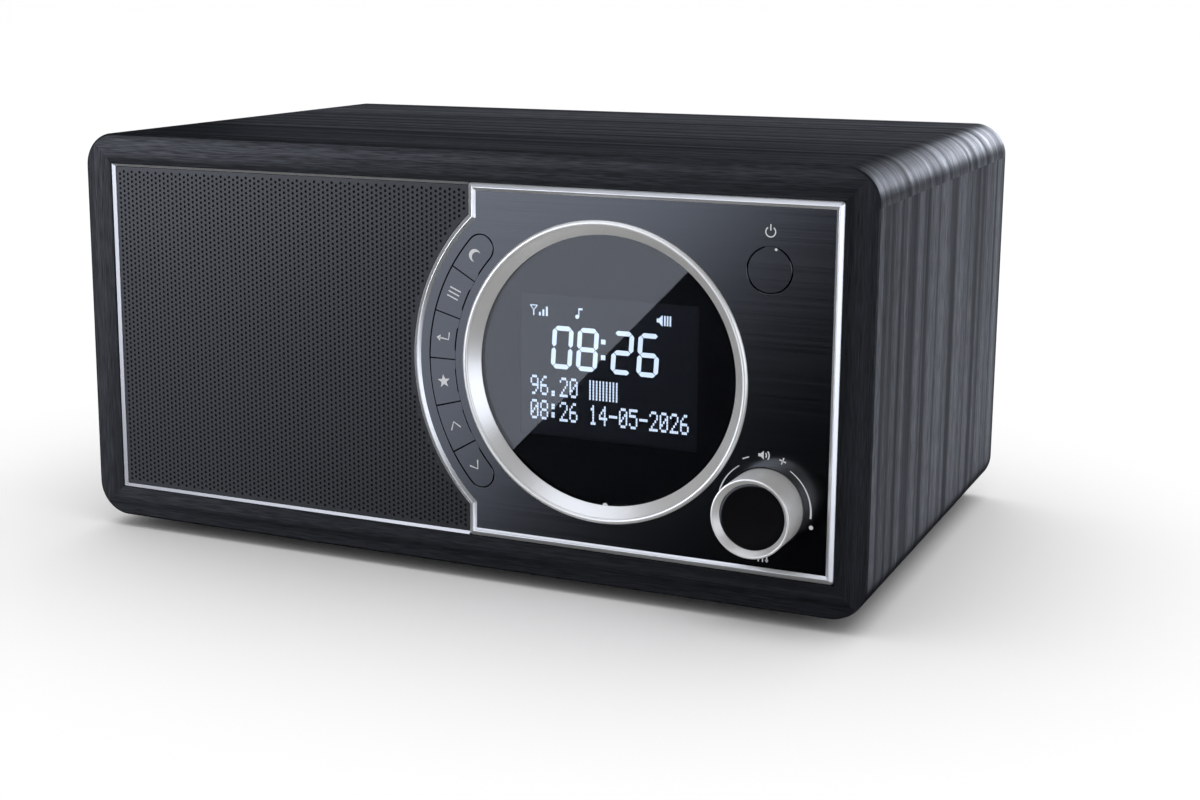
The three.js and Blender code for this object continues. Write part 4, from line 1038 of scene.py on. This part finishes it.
# Segments of a digit, as (start, end) corners on a unit cell one wide and two high.
SEGMENTS = {
    "a": ((0, 2), (1, 2)), "b": ((1, 2), (1, 1)), "c": ((1, 1), (1, 0)), "d": ((0, 0), (1, 0)),
    "e": ((0, 1), (0, 0)), "f": ((0, 2), (0, 1)), "g": ((0, 1), (1, 1)),
}
DIGITS = {
    "0": "abcdef", "1": "bc", "2": "abged", "3": "abgcd", "4": "fgbc", "5": "afgcd", "6": "afgecd",
    "7": "abc", "8": "abcdefg", "9": "abcdfg",
}
# Rows of five dots, top to bottom, as binary numbers.
DOT_SIGNS = {
    "0": (14, 17, 19, 21, 25, 17, 14), "1": (4, 12, 4, 4, 4, 4, 14), "2": (14, 17, 1, 2, 4, 8, 31),
    "3": (31, 2, 4, 2, 1, 17, 14), "4": (2, 6, 10, 18, 31, 2, 2), "5": (31, 16, 30, 1, 1, 17, 14),
    "6": (6, 8, 16, 30, 17, 17, 14), "7": (31, 1, 2, 4, 8, 8, 8), "8": (14, 17, 17, 14, 17, 17, 14),
    "9": (14, 17, 17, 15, 1, 2, 12), ":": (0, 12, 12, 0, 12, 12, 0), "-": (0, 0, 0, 31, 0, 0, 0),
    ".": (0, 0, 0, 0, 0, 12, 12), " ": (0, 0, 0, 0, 0, 0, 0), "|": (21, 21, 21, 21, 21, 21, 21),
}


def segment(start, end, stroke, gap):
    """One bar of a digit, pointed at both ends."""
    a, b = Vector(start), Vector(end)
    along = (b - a).normalized()
    side = Vector((-along.y, along.x)) * stroke / 2
    a, b = a + along * gap, b - along * gap
    inner_a, inner_b = a + along * stroke / 2, b - along * stroke / 2
    return [tuple(p) for p in (a, inner_a - side, inner_b - side, b, inner_b + side, inner_a + side)]


def big_digits(text, left, bottom, width, height, pitch, y):
    """Seven-segment figures, leaning a little to the right."""
    stroke = width * 0.21
    shapes = []
    x = left
    for sign in text:
        if sign == ":":
            for level in (0.3, 0.66):
                low = bottom + height * level
                shapes.append(ink(rectangle(x, x + stroke, low, low + stroke), y))
            x += stroke * 2.1
            continue
        for name in DIGITS[sign]:
            ends = []
            for u, v in SEGMENTS[name]:
                px = x + stroke / 2 + u * (width - stroke)
                pz = bottom + stroke / 2 + v / 2 * (height - stroke)
                ends.append((px + (pz - bottom) * 0.06, pz))
            shapes.append(ink(segment(*ends, stroke, stroke * 0.08), y))
        x += pitch
    return together(*shapes)


def dot_text(text, left, bottom, pitch, dot, y):
    """Characters made of square dots, as on a dot-matrix display."""
    shapes = []
    for i, sign in enumerate(text):
        for row, bits in enumerate(DOT_SIGNS[sign]):
            for column in range(5):
                if bits >> (4 - column) & 1:
                    x = left + i * pitch + column * dot[0]
                    z = bottom + (6 - row) * dot[1]
                    shapes.append(ink(rectangle(x, x + dot[0] * 0.88, z, z + dot[1] * 0.9), y))
    return together(*shapes)


def display_marks():
    """What the display shows: a clock, a frequency and a date, in figures only, and four small signs."""
    y = lcd_low.y
    x0, z0 = DIAL[0] - 2.0 * MM, DIAL[1] - 0.6 * MM
    pitch, dot = 2.83 * MM, (0.47 * MM, 0.76 * MM)
    shapes = [
        big_digits("08:26", x0 - 14.2 * MM, z0 - 0.1 * MM, 6.0 * MM, 11.5 * MM, 7.2 * MM, y),
        dot_text("96.20 |||", x0 - 20.0 * MM, z0 - 7.6 * MM, pitch, dot, y),
        dot_text("08:26 14-05-2026", x0 - 20.0 * MM, z0 - 14.2 * MM, pitch, dot, y),
    ]

    def bar(left, right, bottom, top):
        shapes.append(ink(rectangle(left, right, bottom, top), y))

    signal_bottom = z0 + 13.7 * MM
    for i, tall in enumerate((1.0, 1.7, 2.5)):
        left = x0 - 17.6 * MM + i * 1.0 * MM
        bar(left, left + 0.55 * MM, signal_bottom, z0 + (13.7 + tall) * MM)
    mast, top = x0 - 19.1 * MM, z0 + 16.4 * MM
    bar(mast - 0.16 * MM, mast + 0.16 * MM, signal_bottom, top - 1.2 * MM)
    funnel = [(mast - 1.0 * MM, top), (mast, top - 1.3 * MM), (mast + 1.0 * MM, top)]
    shapes.append(line_mark(funnel, 0.28 * MM, y))
    bar(mast - 1.0 * MM, mast + 1.0 * MM, top - 0.12 * MM, top + 0.12 * MM)
    note, note_bottom = x0 - 6.6 * MM, z0 + 14.2 * MM
    shapes.append(ink(circle((note, note_bottom), 0.55 * MM, 16), y))
    bar(note + 0.32 * MM, note + 0.6 * MM, note_bottom, z0 + 16.4 * MM)
    bar(note + 0.32 * MM, note + 1.5 * MM, z0 + 16.0 * MM, z0 + 16.5 * MM)
    horn, mid = x0 + 15.6 * MM, z0 + 15.0 * MM
    cone = [(0, -0.5), (0.6, -0.5), (1.6, -1.5), (1.6, 1.5), (0.6, 0.5), (0, 0.5)]
    shapes.append(ink([(horn + x * MM, mid + z * MM) for x, z in cone], y))
    for i in range(3):
        left = horn + (2.0 + 0.75 * i) * MM
        bar(left, left + 0.42 * MM, mid - 1.3 * MM, mid + 1.3 * MM)
    piece("display_figures", together(*shapes), lit, weld=False)


# ---- keys ---------------------------------------------------------------------------------------
def key_outline(index, grow):
    """A key's edge. Its inner side keeps a bridge to the panel at each end of a short slot."""
    first, last = index == 0, index == len(KEY_NAMES) - 1
    centre = key_angle(index)
    half_gap = KEY_GAP / 2 / KEY_MIDDLE_RADIUS
    start = centre - KEY_PITCH / 2 + (0 if first else half_gap)
    end = centre + KEY_PITCH / 2 - (0 if last else half_gap)
    outline = strip_outline(start, end, grow, first, last)
    slot_half = KEY_PITCH * 0.3
    bridged = []
    for x, z in outline:
        dx, dz = x - DIAL[0], z - DIAL[1]
        radius, angle = math.hypot(dx, dz), math.atan2(dz, dx) % TURN
        on_inner = radius < KEY_INNER_RADIUS - grow + 0.01 * MM
        if on_inner and abs(angle - centre) > slot_half:
            x, z = on_dial(KEY_INNER_RADIUS - KEY_GAP + 0.02 * MM, angle)
        bridged.append((x, z))
    return bridged


def key_marks(index, y):
    """A printed sign on a key, drawn upright about (0, 0) in millimetres and turned with the key."""
    stroke = 0.34
    if index == 0:
        outer = arc((0, 0), 1.7, math.radians(60), math.radians(300), 20)
        inner = arc((0.75, 0), 1.45, math.radians(278), math.radians(82), 16)
        drawings = [("fill", outer + inner)]
    elif index == 1:
        drawings = [("line", [(-1.7, z), (1.7, z)]) for z in (1.2, 0, -1.2)]
    elif index == 2:
        drawings = [("line", [(1.6, 1.4), (1.6, -0.6), (-1.2, -0.6)]),
                    ("fill", [(-2.0, -0.6), (-0.9, 0.3), (-0.9, -1.5)])]
    elif index == 3:
        star = [(r * math.cos(a), r * math.sin(a)) for i in range(10)
                for r, a in [((1.9 if i % 2 == 0 else 0.8), math.pi / 2 + i * math.pi / 5)]]
        drawings = [("fill", star)]
    else:
        tip = 1.0 if index == 4 else -1.0
        drawings = [("line", [(-1.5, -tip), (0, tip), (1.5, -tip)])]
    turn = key_angle(index) - math.pi
    spot = on_dial(KEY_MIDDLE_RADIUS, key_angle(index))
    shapes = []
    for kind, points in drawings:
        placed = moved(points, spot, turn, MM)
        shapes.append(ink(placed, y) if kind == "fill" else line_mark(placed, stroke * MM, y))
    return together(*shapes)


def cap_with_stem(outline, spot, stem_end):
    """A key's cap, eased at its front edge, with the round stem that reaches its switch."""
    cap_back = FACE + KEY_THICKNESS
    cap = eased_plate([outline(-EASE)], [outline(0)], FACE, cap_back, EASE)
    stem = turned([(0, cap_back), (STEM_RADIUS, cap_back), (STEM_RADIUS, stem_end), (0, stem_end)], spot, 24)
    return together(cap, stem)


def keys():
    """Six keys in an arc, each with its sign."""
    for index, name in enumerate(KEY_NAMES):
        spot = on_dial(KEY_MIDDLE_RADIUS, key_angle(index))
        shape = cap_with_stem(lambda grow: key_outline(index, grow), spot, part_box("key_" + name)[1].y)
        made = piece("keycap_" + name, shape, panel_metal,
                     body=name + "_key", stands_for=["key_" + name], sharp=20)
        front_uv(made)
        piece("keymark_" + name, key_marks(index, FACE), white_ink,
              body=name + "_key", weld=False)


def power_key():
    """The round power key with its dot."""
    shape = cap_with_stem(power_cap_outline, POWER, power_high.y)
    made = piece("power_keycap", shape, panel_metal, body="power_key",
                 stands_for=["power_button"], sharp=20)
    front_uv(made)
    # A small white printed dot at the end of the groove.
    white_dot = moved(circle((0, 0), 0.35, 16), (POWER[0] + 1.5 * MM, POWER[1] + 5.2 * MM), 0, MM)
    piece("power_keydot", ink(white_dot, FACE), white_ink, body="power_key", weld=False)


# ---- knob ---------------------------------------------------------------------------------------
def knob():
    """The knob: a shell open to the front, with a slightly domed black disc set into it."""
    rim = KNOB_RADIUS - 1.7 * MM
    wall = KNOB_RADIUS - 1.25 * MM
    front, back = knob_low.y, knob_high.y
    web = knob_cap_high.y + 0.6 * MM
    hub = 4.6 * MM
    bore = 3.08 * MM
    profile = [
        (0, knob_cap_high.y), (rim, knob_cap_high.y), (rim, knob_cap_low.y),
        (KNOB_RADIUS - 0.52 * MM, front + 0.03 * MM), (KNOB_RADIUS - 0.42 * MM, front),
        (KNOB_RADIUS - 0.3 * MM, front), (KNOB_RADIUS - 0.12 * MM, front + 0.06 * MM),
        (KNOB_RADIUS - 0.03 * MM, front + 0.16 * MM), (KNOB_RADIUS, front + 0.32 * MM),
        (KNOB_RADIUS, back), (wall, back), (wall, web + 1.2 * MM), (hub, web + 1.2 * MM),
        (hub, FACE - 0.7 * MM), (bore, FACE - 0.7 * MM), (bore, web), (0, web),
    ]
    piece("knob_shell", turned(profile, KNOB, 128), silver, body="knob",
          stands_for=["knob_body"], sharp=24)
    disc = rim - 0.05 * MM
    face = [(0, knob_cap_low.y + 0.34 * MM)]
    for k in range(1, 7):
        face.append((disc * k / 6 * 0.985, knob_cap_low.y + 0.34 * MM * (1 - (k / 6) ** 2)))
    face += [(disc, knob_cap_low.y + 0.05 * MM), (disc, knob_cap_high.y), (0, knob_cap_high.y)]
    piece("knob_disc", turned(face, KNOB, 96), gloss_black, body="knob",
          stands_for=["knob_cap"])


def arc_band(centre, radius, start, end, width_start, width_end, steps=48):
    """A printed arc that swells from one width to another."""
    outer, inner = [], []
    for i in range(steps + 1):
        t = i / steps
        angle = start + (end - start) * t
        half = (width_start + (width_end - width_start) * t) / 2
        for side, sign in ((outer, 1), (inner, -1)):
            r = radius + sign * half
            side.append((centre[0] + r * math.cos(angle), centre[1] + r * math.sin(angle)))
    return outer + inner[::-1]


def panel_marks():
    """Signs printed on the panel: power, volume arc with plus and minus, and three tone sliders."""
    y = FACE
    deg = math.radians
    top = (POWER[0], POWER[1] + 9.5 * MM)
    shapes = [
        ink(arc_band(top, 1.25 * MM, deg(125), deg(415), 0.3 * MM, 0.3 * MM, 32), y),
        ink(rectangle(top[0] - 0.15 * MM, top[0] + 0.15 * MM, top[1] + 0.3 * MM, top[1] + 1.9 * MM), y),
        ink(arc_band(KNOB, 12.2 * MM, deg(57.4), deg(-6.2), 0.22 * MM, 0.5 * MM), y),
        ink(arc_band(KNOB, 12.2 * MM, deg(123.4), deg(165), 0.22 * MM, 0.4 * MM), y),
    ]

    def round_knob(radius, angle):
        return (KNOB[0] + radius * MM * math.cos(deg(angle)), KNOB[1] + radius * MM * math.sin(deg(angle)))

    shapes.append(ink(circle(round_knob(12.85, -16.1), 0.55 * MM, 20), y))

    def about_knob(radius, angle, points, kind):
        spot = round_knob(radius, angle)
        placed = moved(points, spot, deg(angle - 90), MM)
        shapes.append(ink(placed, y) if kind == "fill" else line_mark(placed, 0.32 * MM, y))

    horn = [(-1.5, -0.4), (-0.9, -0.4), (-0.1, -1.1), (-0.1, 1.1), (-0.9, 0.4), (-1.5, 0.4)]
    about_knob(13.6, 91, horn, "fill")
    for reach in (0.9, 1.6):
        about_knob(13.6, 91, arc((-0.3, 0), reach, deg(-40), deg(40), 8), "line")
    about_knob(13.4, 112, [(-0.9, 0), (0.9, 0)], "line")
    about_knob(13.4, 70, [(-0.9, 0), (0.9, 0)], "line")
    about_knob(13.4, 70, [(0, -0.9), (0, 0.9)], "line")
    for i, level in enumerate((0.5, -0.5, 0.2)):
        x = (i - 1) * 1.1
        about_knob(13.1, 270, [(x, -1.0), (x, 1.0)], "line")
        knot = rectangle(x - 0.38, x + 0.38, level - 0.22, level + 0.22)
        about_knob(13.1, 270, knot, "fill")
    piece("panel_signs", together(*shapes), white_ink, weld=False)


# ---- back of the radio --------------------------------------------------------------------------
def screw_head(place, front):
    """A domed head with a cross recess, its shank running forward into the batten."""
    head, shank = 2.8 * MM, 1.25 * MM
    arm, width, deep = 1.55 * MM, 0.36 * MM, 0.8 * MM
    top = front + 1.4 * MM
    shank_end, point = front - 7.5 * MM, front - 9 * MM
    cross = []
    for k in range(4):
        turn = math.pi / 2 * k
        for a, b in ((arm, -width), (arm, width), (width, width)):
            cross += moved([(a, b)], place, turn)
    crown = circle(place, head * 0.66, 48)
    deep_cross = [[(x, top - deep, z) for x, z in cross], triangles_between([cross])]
    face = [[(x, top, z) for x, z in crown + cross], triangles_between([crown, cross])]
    tip = circle(place, 0.2 * MM, 48)
    end = [[(x, point, z) for x, z in tip], triangles_between([tip])]
    steps = [(head * 0.86, top - 0.22 * MM), (head * 0.97, top - 0.6 * MM), (head, front + 0.3 * MM),
             (head, front), (shank, front), (shank, shank_end)]
    outer = [(crown, top), *((circle(place, radius, 48), y) for radius, y in steps), (tip, point)]
    walls = lofted([(cross, top), (cross, top - deep)], closed=False)
    return together(face, walls, deep_cross, lofted(outer, closed=False), end)


def back_details():
    """Four screws and three sockets on the back panel."""
    for index in range(1, 5):
        low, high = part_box(f"rear_screw_{index}")
        place = middle(low, high)
        piece(f"back_screw_{index}", screw_head(place, rear_high.y), steel,
              stands_for=[f"rear_screw_{index}"], sharp=28)
    for name, bore, pin in (("dc_jack", 2.85, 0.95), ("aux_jack", 1.8, 0), ("headphone_jack", 1.8, 0)):
        socket(name, bore * MM, pin * MM)


def socket(name, bore, pin):
    """A round socket: barrel with an eased mouth and a bore, on the block that holds it to the board."""
    low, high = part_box(name)
    centre = ((low.x + high.x) / 2, high.z - (high.x - low.x) / 2)
    barrel = 3.9 * MM
    start = rear_low.y - 0.3 * MM
    mouth = high.y
    deep = mouth - 9 * MM
    shapes = [
        turned([(0, start - 8 * MM), (barrel, start - 8 * MM), (barrel, mouth - 0.3 * MM),
                (barrel - 0.3 * MM, mouth), (bore + 0.35 * MM, mouth), (bore, mouth - 0.35 * MM),
                (bore, deep), (0, deep)], centre, 64),
        box((low.x, low.y, low.z), (high.x, start - 8.02 * MM, high.z)),
    ]
    if pin:
        shapes.append(turned([(0, deep + 0.01 * MM), (pin, deep + 0.01 * MM), (pin, mouth - 1.3 * MM),
                              (pin * 0.6, mouth - 1 * MM), (0, mouth - 1 * MM)], centre, 24))
    piece(name + "_socket", together(*shapes), black_plastic, stands_for=[name])


# ---- antenna ------------------------------------------------------------------------------------
HINGE = Vector(next(j for j in frame["joints"] if j["name"] == "antenna_tilt")["pos_m"])


def along_tube(profile, steps=40):
    """A round piece about the folded antenna's line, from (radius, distance from the hinge) points."""
    points, faces = turned([(radius, distance) for radius, distance in profile], (0, 0), steps)
    return [(HINGE.x - y, HINGE.y + x, HINGE.z + z) for x, y, z in points], faces


def upright(points_faces):
    """A piece turned about a front-to-back axis, stood up on the tilt axis."""
    points, faces = points_faces
    return [(HINGE.x + x, HINGE.y + z, HINGE.z + y) for x, y, z in points], faces


SHAFT_HOLE_RADIUS = 3.08 * MM
EAR_RADIUS = 2.9 * MM
EAR_NEAR, EAR_FAR = 1.9 * MM, 3.3 * MM
TUBE_RADII = (2.7, 2.2, 1.75, 1.3)
TUBE_WALL = 0.35
TUBE_BODIES = ("antenna_root", "antenna_second", "antenna_third", "antenna_fourth")
ROD_RADIUS = 0.85 * MM


def antenna_yoke():
    """The mount on the back panel, and the swivel plate with the ears and rivet of the tilt hinge."""
    base_low, base_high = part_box("antenna_base")
    place = middle(base_low, base_high)
    radius = (base_high.x - base_low.x) / 2
    base = turned([
        (radius, base_low.y), (radius, base_low.y + 0.5 * MM), (radius - 0.3 * MM, base_high.y - 0.3 * MM),
        (radius - 0.9 * MM, base_high.y), (SHAFT_HOLE_RADIUS, base_high.y), (SHAFT_HOLE_RADIUS, base_low.y),
    ], place, 72)
    piece("antenna_mount", base, black_plastic, stands_for=["antenna_base"])

    shaft_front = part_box("antenna_swivel")[0].y
    plate_front = base_high.y + 0.2 * MM
    plate_back = plate_front + 1.3 * MM
    disc = turned([
        (0, shaft_front), (3 * MM, shaft_front), (3 * MM, plate_front), (5.8 * MM, plate_front),
        (6 * MM, plate_front + 0.2 * MM), (6 * MM, plate_back - 0.3 * MM), (5.7 * MM, plate_back),
        (0, plate_back),
    ], place, 64)
    sunk = plate_back - HINGE.y - 0.1 * MM
    cheek = arc((0, 0), EAR_RADIUS, 0, math.pi, 24) + [(-EAR_RADIUS, sunk), (EAR_RADIUS, sunk)]
    ears = [upright(plate([cheek], *span)) for span in ((-EAR_FAR, -EAR_NEAR), (EAR_NEAR, EAR_FAR))]
    piece("antenna_yoke_piece", together(disc, *ears), chrome, body="antenna_yoke",
          stands_for=["antenna_swivel"], bevel=0.12 * MM)
    head, neck = 3.45 * MM, 3.3 * MM
    rivet = turned([(0, -head), (1 * MM, -head), (1.25 * MM, -neck), (1.25 * MM, neck),
                    (1 * MM, head), (0, head)], (0, 0), 32)
    piece("antenna_rivet", upright(rivet), steel, body="antenna_yoke")


def root_section(outer, inner, end):
    """The widest tube, closed at its foot, with the flat tongue and round knuckle of the tilt hinge."""
    start = 3.8 * MM
    floor_of_bore = start + 4 * MM
    tube = along_tube([(0, start), (outer, start), (outer, end - 0.6 * MM), (outer - 0.25 * MM, end),
                       (inner, end), (inner, floor_of_bore), (0, floor_of_bore)])
    side, bore, radius = 1.65 * MM, 1.35 * MM, 2.7 * MM
    knuckle = upright(turned([(bore, -side), (radius, -side), (radius, side), (bore, side)], (0, 0), 40))
    tongue = box((HINGE.x - start - 0.3 * MM, HINGE.y - 1.9 * MM, HINGE.z - 1.7 * MM),
                 (HINGE.x - 1.7 * MM, HINGE.y + 1.9 * MM, HINGE.z + 1.7 * MM))
    return together(tube, knuckle, tongue)


def antenna():
    """The yoke, the four tubes that slide in each other, and the rod with its end knob."""
    antenna_yoke()
    for index, (tube_radius, body) in enumerate(zip(TUBE_RADII, TUBE_BODIES)):
        low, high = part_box(f"antenna_tube_{index + 1}")
        start, end = HINGE.x - high.x, HINGE.x - low.x
        outer, inner = tube_radius * MM, (tube_radius - TUBE_WALL) * MM
        if index == 0:
            shape = root_section(outer, inner, end)
        else:
            shape = along_tube([(inner, start), (outer, start), (outer, end - 0.5 * MM),
                                (outer - 0.2 * MM, end), (inner, end)])
        piece(f"antenna_section_{index + 1}", shape, chrome, body=body,
              stands_for=[f"antenna_tube_{index + 1}"], sharp=30)
    low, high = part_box("antenna_tip")
    start, end = HINGE.x - high.x, HINGE.x - low.x
    grip = end - 6 * MM
    wide, groove = 2.7 * MM, 2.35 * MM
    tip = along_tube([
        (0, start), (ROD_RADIUS, start), (ROD_RADIUS, grip), (2.3 * MM, grip), (wide, grip + 0.4 * MM),
        (wide, grip + 1.6 * MM), (groove, grip + 2 * MM), (groove, grip + 2.5 * MM),
        (wide, grip + 2.9 * MM), (wide, end - 1.2 * MM), (2.3 * MM, end - 0.5 * MM),
        (1.4 * MM, end - 0.1 * MM), (0, end),
    ])
    piece("antenna_end_knob", tip, chrome, body="antenna_end", stands_for=["antenna_tip"])


# ---- pieces that keep their solid shape ---------------------------------------------------------
def repaint():
    """The nodes that still show as they are get their own finishes."""
    finishes = {
        "front_baffle": black_plastic, "lcd_backlight": light_guide,
        "encoder_shaft": steel, "encoder_plunger": black_plastic, "encoder_body": steel,
        "control_board": board_green, "speaker_basket": steel, "speaker_cone": paper, "dust_cap": paper,
        "speaker_magnet": ferrite, "main_board": board_green, "board_bracket": steel,
        "tuner_shield": steel, "ribbon_cable": sheath, "speaker_lead": sheath, "rear_frame": batten,
        "rear_panel": black_plastic, "switch_power": black_plastic,
    }
    finishes.update({"switch_" + name: black_plastic for name in KEY_NAMES})
    for name, material in finishes.items():
        made = frame["nodes"][name]
        made.data.materials.clear()
        made.data.materials.append(material)


# ---- camera, floor and light --------------------------------------------------------------------
def camera():
    """A camera at the front right, a little above the radio."""
    lens = bpy.data.cameras.new("Camera")
    lens.sensor_width = 36
    lens.lens = 55.8
    lens.shift_x, lens.shift_y = 0.0643, -0.0522
    lens.clip_start, lens.clip_end = 0.01, 100
    made = shown("Camera", lens)
    made.location = (0.2297, FRONT - 0.4309, cabinet_low.z + 0.1564)
    made.rotation_euler = (math.pi / 2 - 0.19, 0, 0.4471)
    bpy.context.scene.camera = made


def floor():
    """A plain pale floor that the radio does not mirror."""
    f = Finish("Pale floor", Roughness=0.9, Specular_IOR_Level=0.1)
    cloud = f.pattern(GRAIN, Scale=3.0, Detail=2.0)
    f.colour(f.mixed(cloud, (0.94, 0.94, 0.94), (0.95, 0.95, 0.95)))
    reach = 30.0
    mesh = bpy.data.meshes.new("floor")
    mesh.from_pydata([(-reach, -reach, 0), (reach, -reach, 0), (reach, reach, 0), (-reach, reach, 0)], [],
                     [[0, 1, 2, 3]])
    mesh.materials.append(f.material)
    made = shown("floor", mesh)
    made.visible_transmission = False
    made.visible_glossy = False


def softbox(name, spot, aim, width, height, radiance, roll):
    """A rectangular light whose face looks at aim, for glossy surfaces only."""
    light = bpy.data.lights.new(name, "AREA")
    light.shape = "RECTANGLE"
    light.size, light.size_y = width, height
    light.energy = radiance * math.pi * width * height
    light.color = (0.82, 0.87, 1.0)
    made = shown(name, light)
    facing = (Vector(aim) - Vector(spot)).to_track_quat("-Z", "Y").to_matrix()
    made.matrix_world = Matrix.Translation(Vector(spot)) @ (facing @ Matrix.Rotation(roll, 3, "Z")).to_4x4()
    made.visible_camera = False
    made.visible_diffuse = False


RADIO_MIDDLE = (0.03, 0.0, 0.06)
# Each card: name, place, aim, width and height, radiance, and roll in degrees.
CARDS = (
    ("Front left card", (-0.885, -1.4, 0.215), (0.05, -0.07, 0.06), (2.0, 1.2), 1.9, 46),
    ("Front right card", (0.85, -1.15, 0.0), (0.08, -0.07, 0.06), (0.5, 1.0), 2.6, 0),
    ("Grille card", (-1.15, -1.5, 0.14), (-0.08, -0.07, 0.1), (0.45, 0.4), 9.0, 0),
    ("Floor bounce", (1.25, 1.1, 0.002), (1.25, 1.1, 1.0), (2.25, 2.3), 0.85, 0),
    ("Back card", (0.42, 1.45, 0.4), RADIO_MIDDLE, (0.9, 0.3), 8.0, 0),
    ("Horizon card", (-0.5, 2.2, 0.4), RADIO_MIDDLE, (2.0, 0.5), 0.4, 0),
    ("Side card", (1.2, -0.5, 0.2), RADIO_MIDDLE, (0.7, 0.8), 2.6, 0),
    ("Left card", (-1.2, 0.6, 0.2), RADIO_MIDDLE, (0.5, 0.8), 1.5, 0),
    ("Top box", (-0.2, -0.3, 1.3), RADIO_MIDDLE, (1.2, 1.2), 1.6, 0),
)


def studio():
    """Even white light, cards that the gloss reflects, and a wide soft sun overhead."""
    world = bpy.data.worlds.new("Studio")
    bpy.context.scene.world = world
    world.use_nodes = True
    tree = world.node_tree
    tree.nodes.clear()
    out = node(tree, "ShaderNodeOutputWorld")
    even = node(tree, "ShaderNodeBackground", Color=(1, 1, 1, 1), Strength=0.62)
    backdrop = node(tree, "ShaderNodeBackground", Color=(1, 1, 1, 1), Strength=1.05)
    path = node(tree, "ShaderNodeLightPath")
    pick = node(tree, "ShaderNodeMixShader")
    tree.links.new(path.outputs["Is Camera Ray"], pick.inputs[0])
    tree.links.new(even.outputs[0], pick.inputs[1])
    tree.links.new(backdrop.outputs[0], pick.inputs[2])
    tree.links.new(pick.outputs[0], out.inputs["Surface"])
    world.cycles_visibility.glossy = False
    world.cycles_visibility.transmission = False
    for name, spot, aim, size, radiance, roll in CARDS:
        softbox(name, spot, aim, *size, radiance, math.radians(roll))
    sky = bpy.data.lights.new("Overhead", "SUN")
    sky.energy, sky.angle = 1.55, math.radians(75)
    made = shown("Overhead", sky)
    made.rotation_euler = (math.radians(-8), 0, 0)
    made.visible_glossy = False


camera()
floor()
studio()
wrapped_cabinet()
rubber_feet()
perforated_grille()
trim_strip()
control_panel()
ridge_bezel()
display_ring()
display_window()
display_marks()
keys()
power_key()
knob()
panel_marks()
back_details()
antenna()
repaint()
bpy.context.scene.view_settings.view_transform = "Standard"
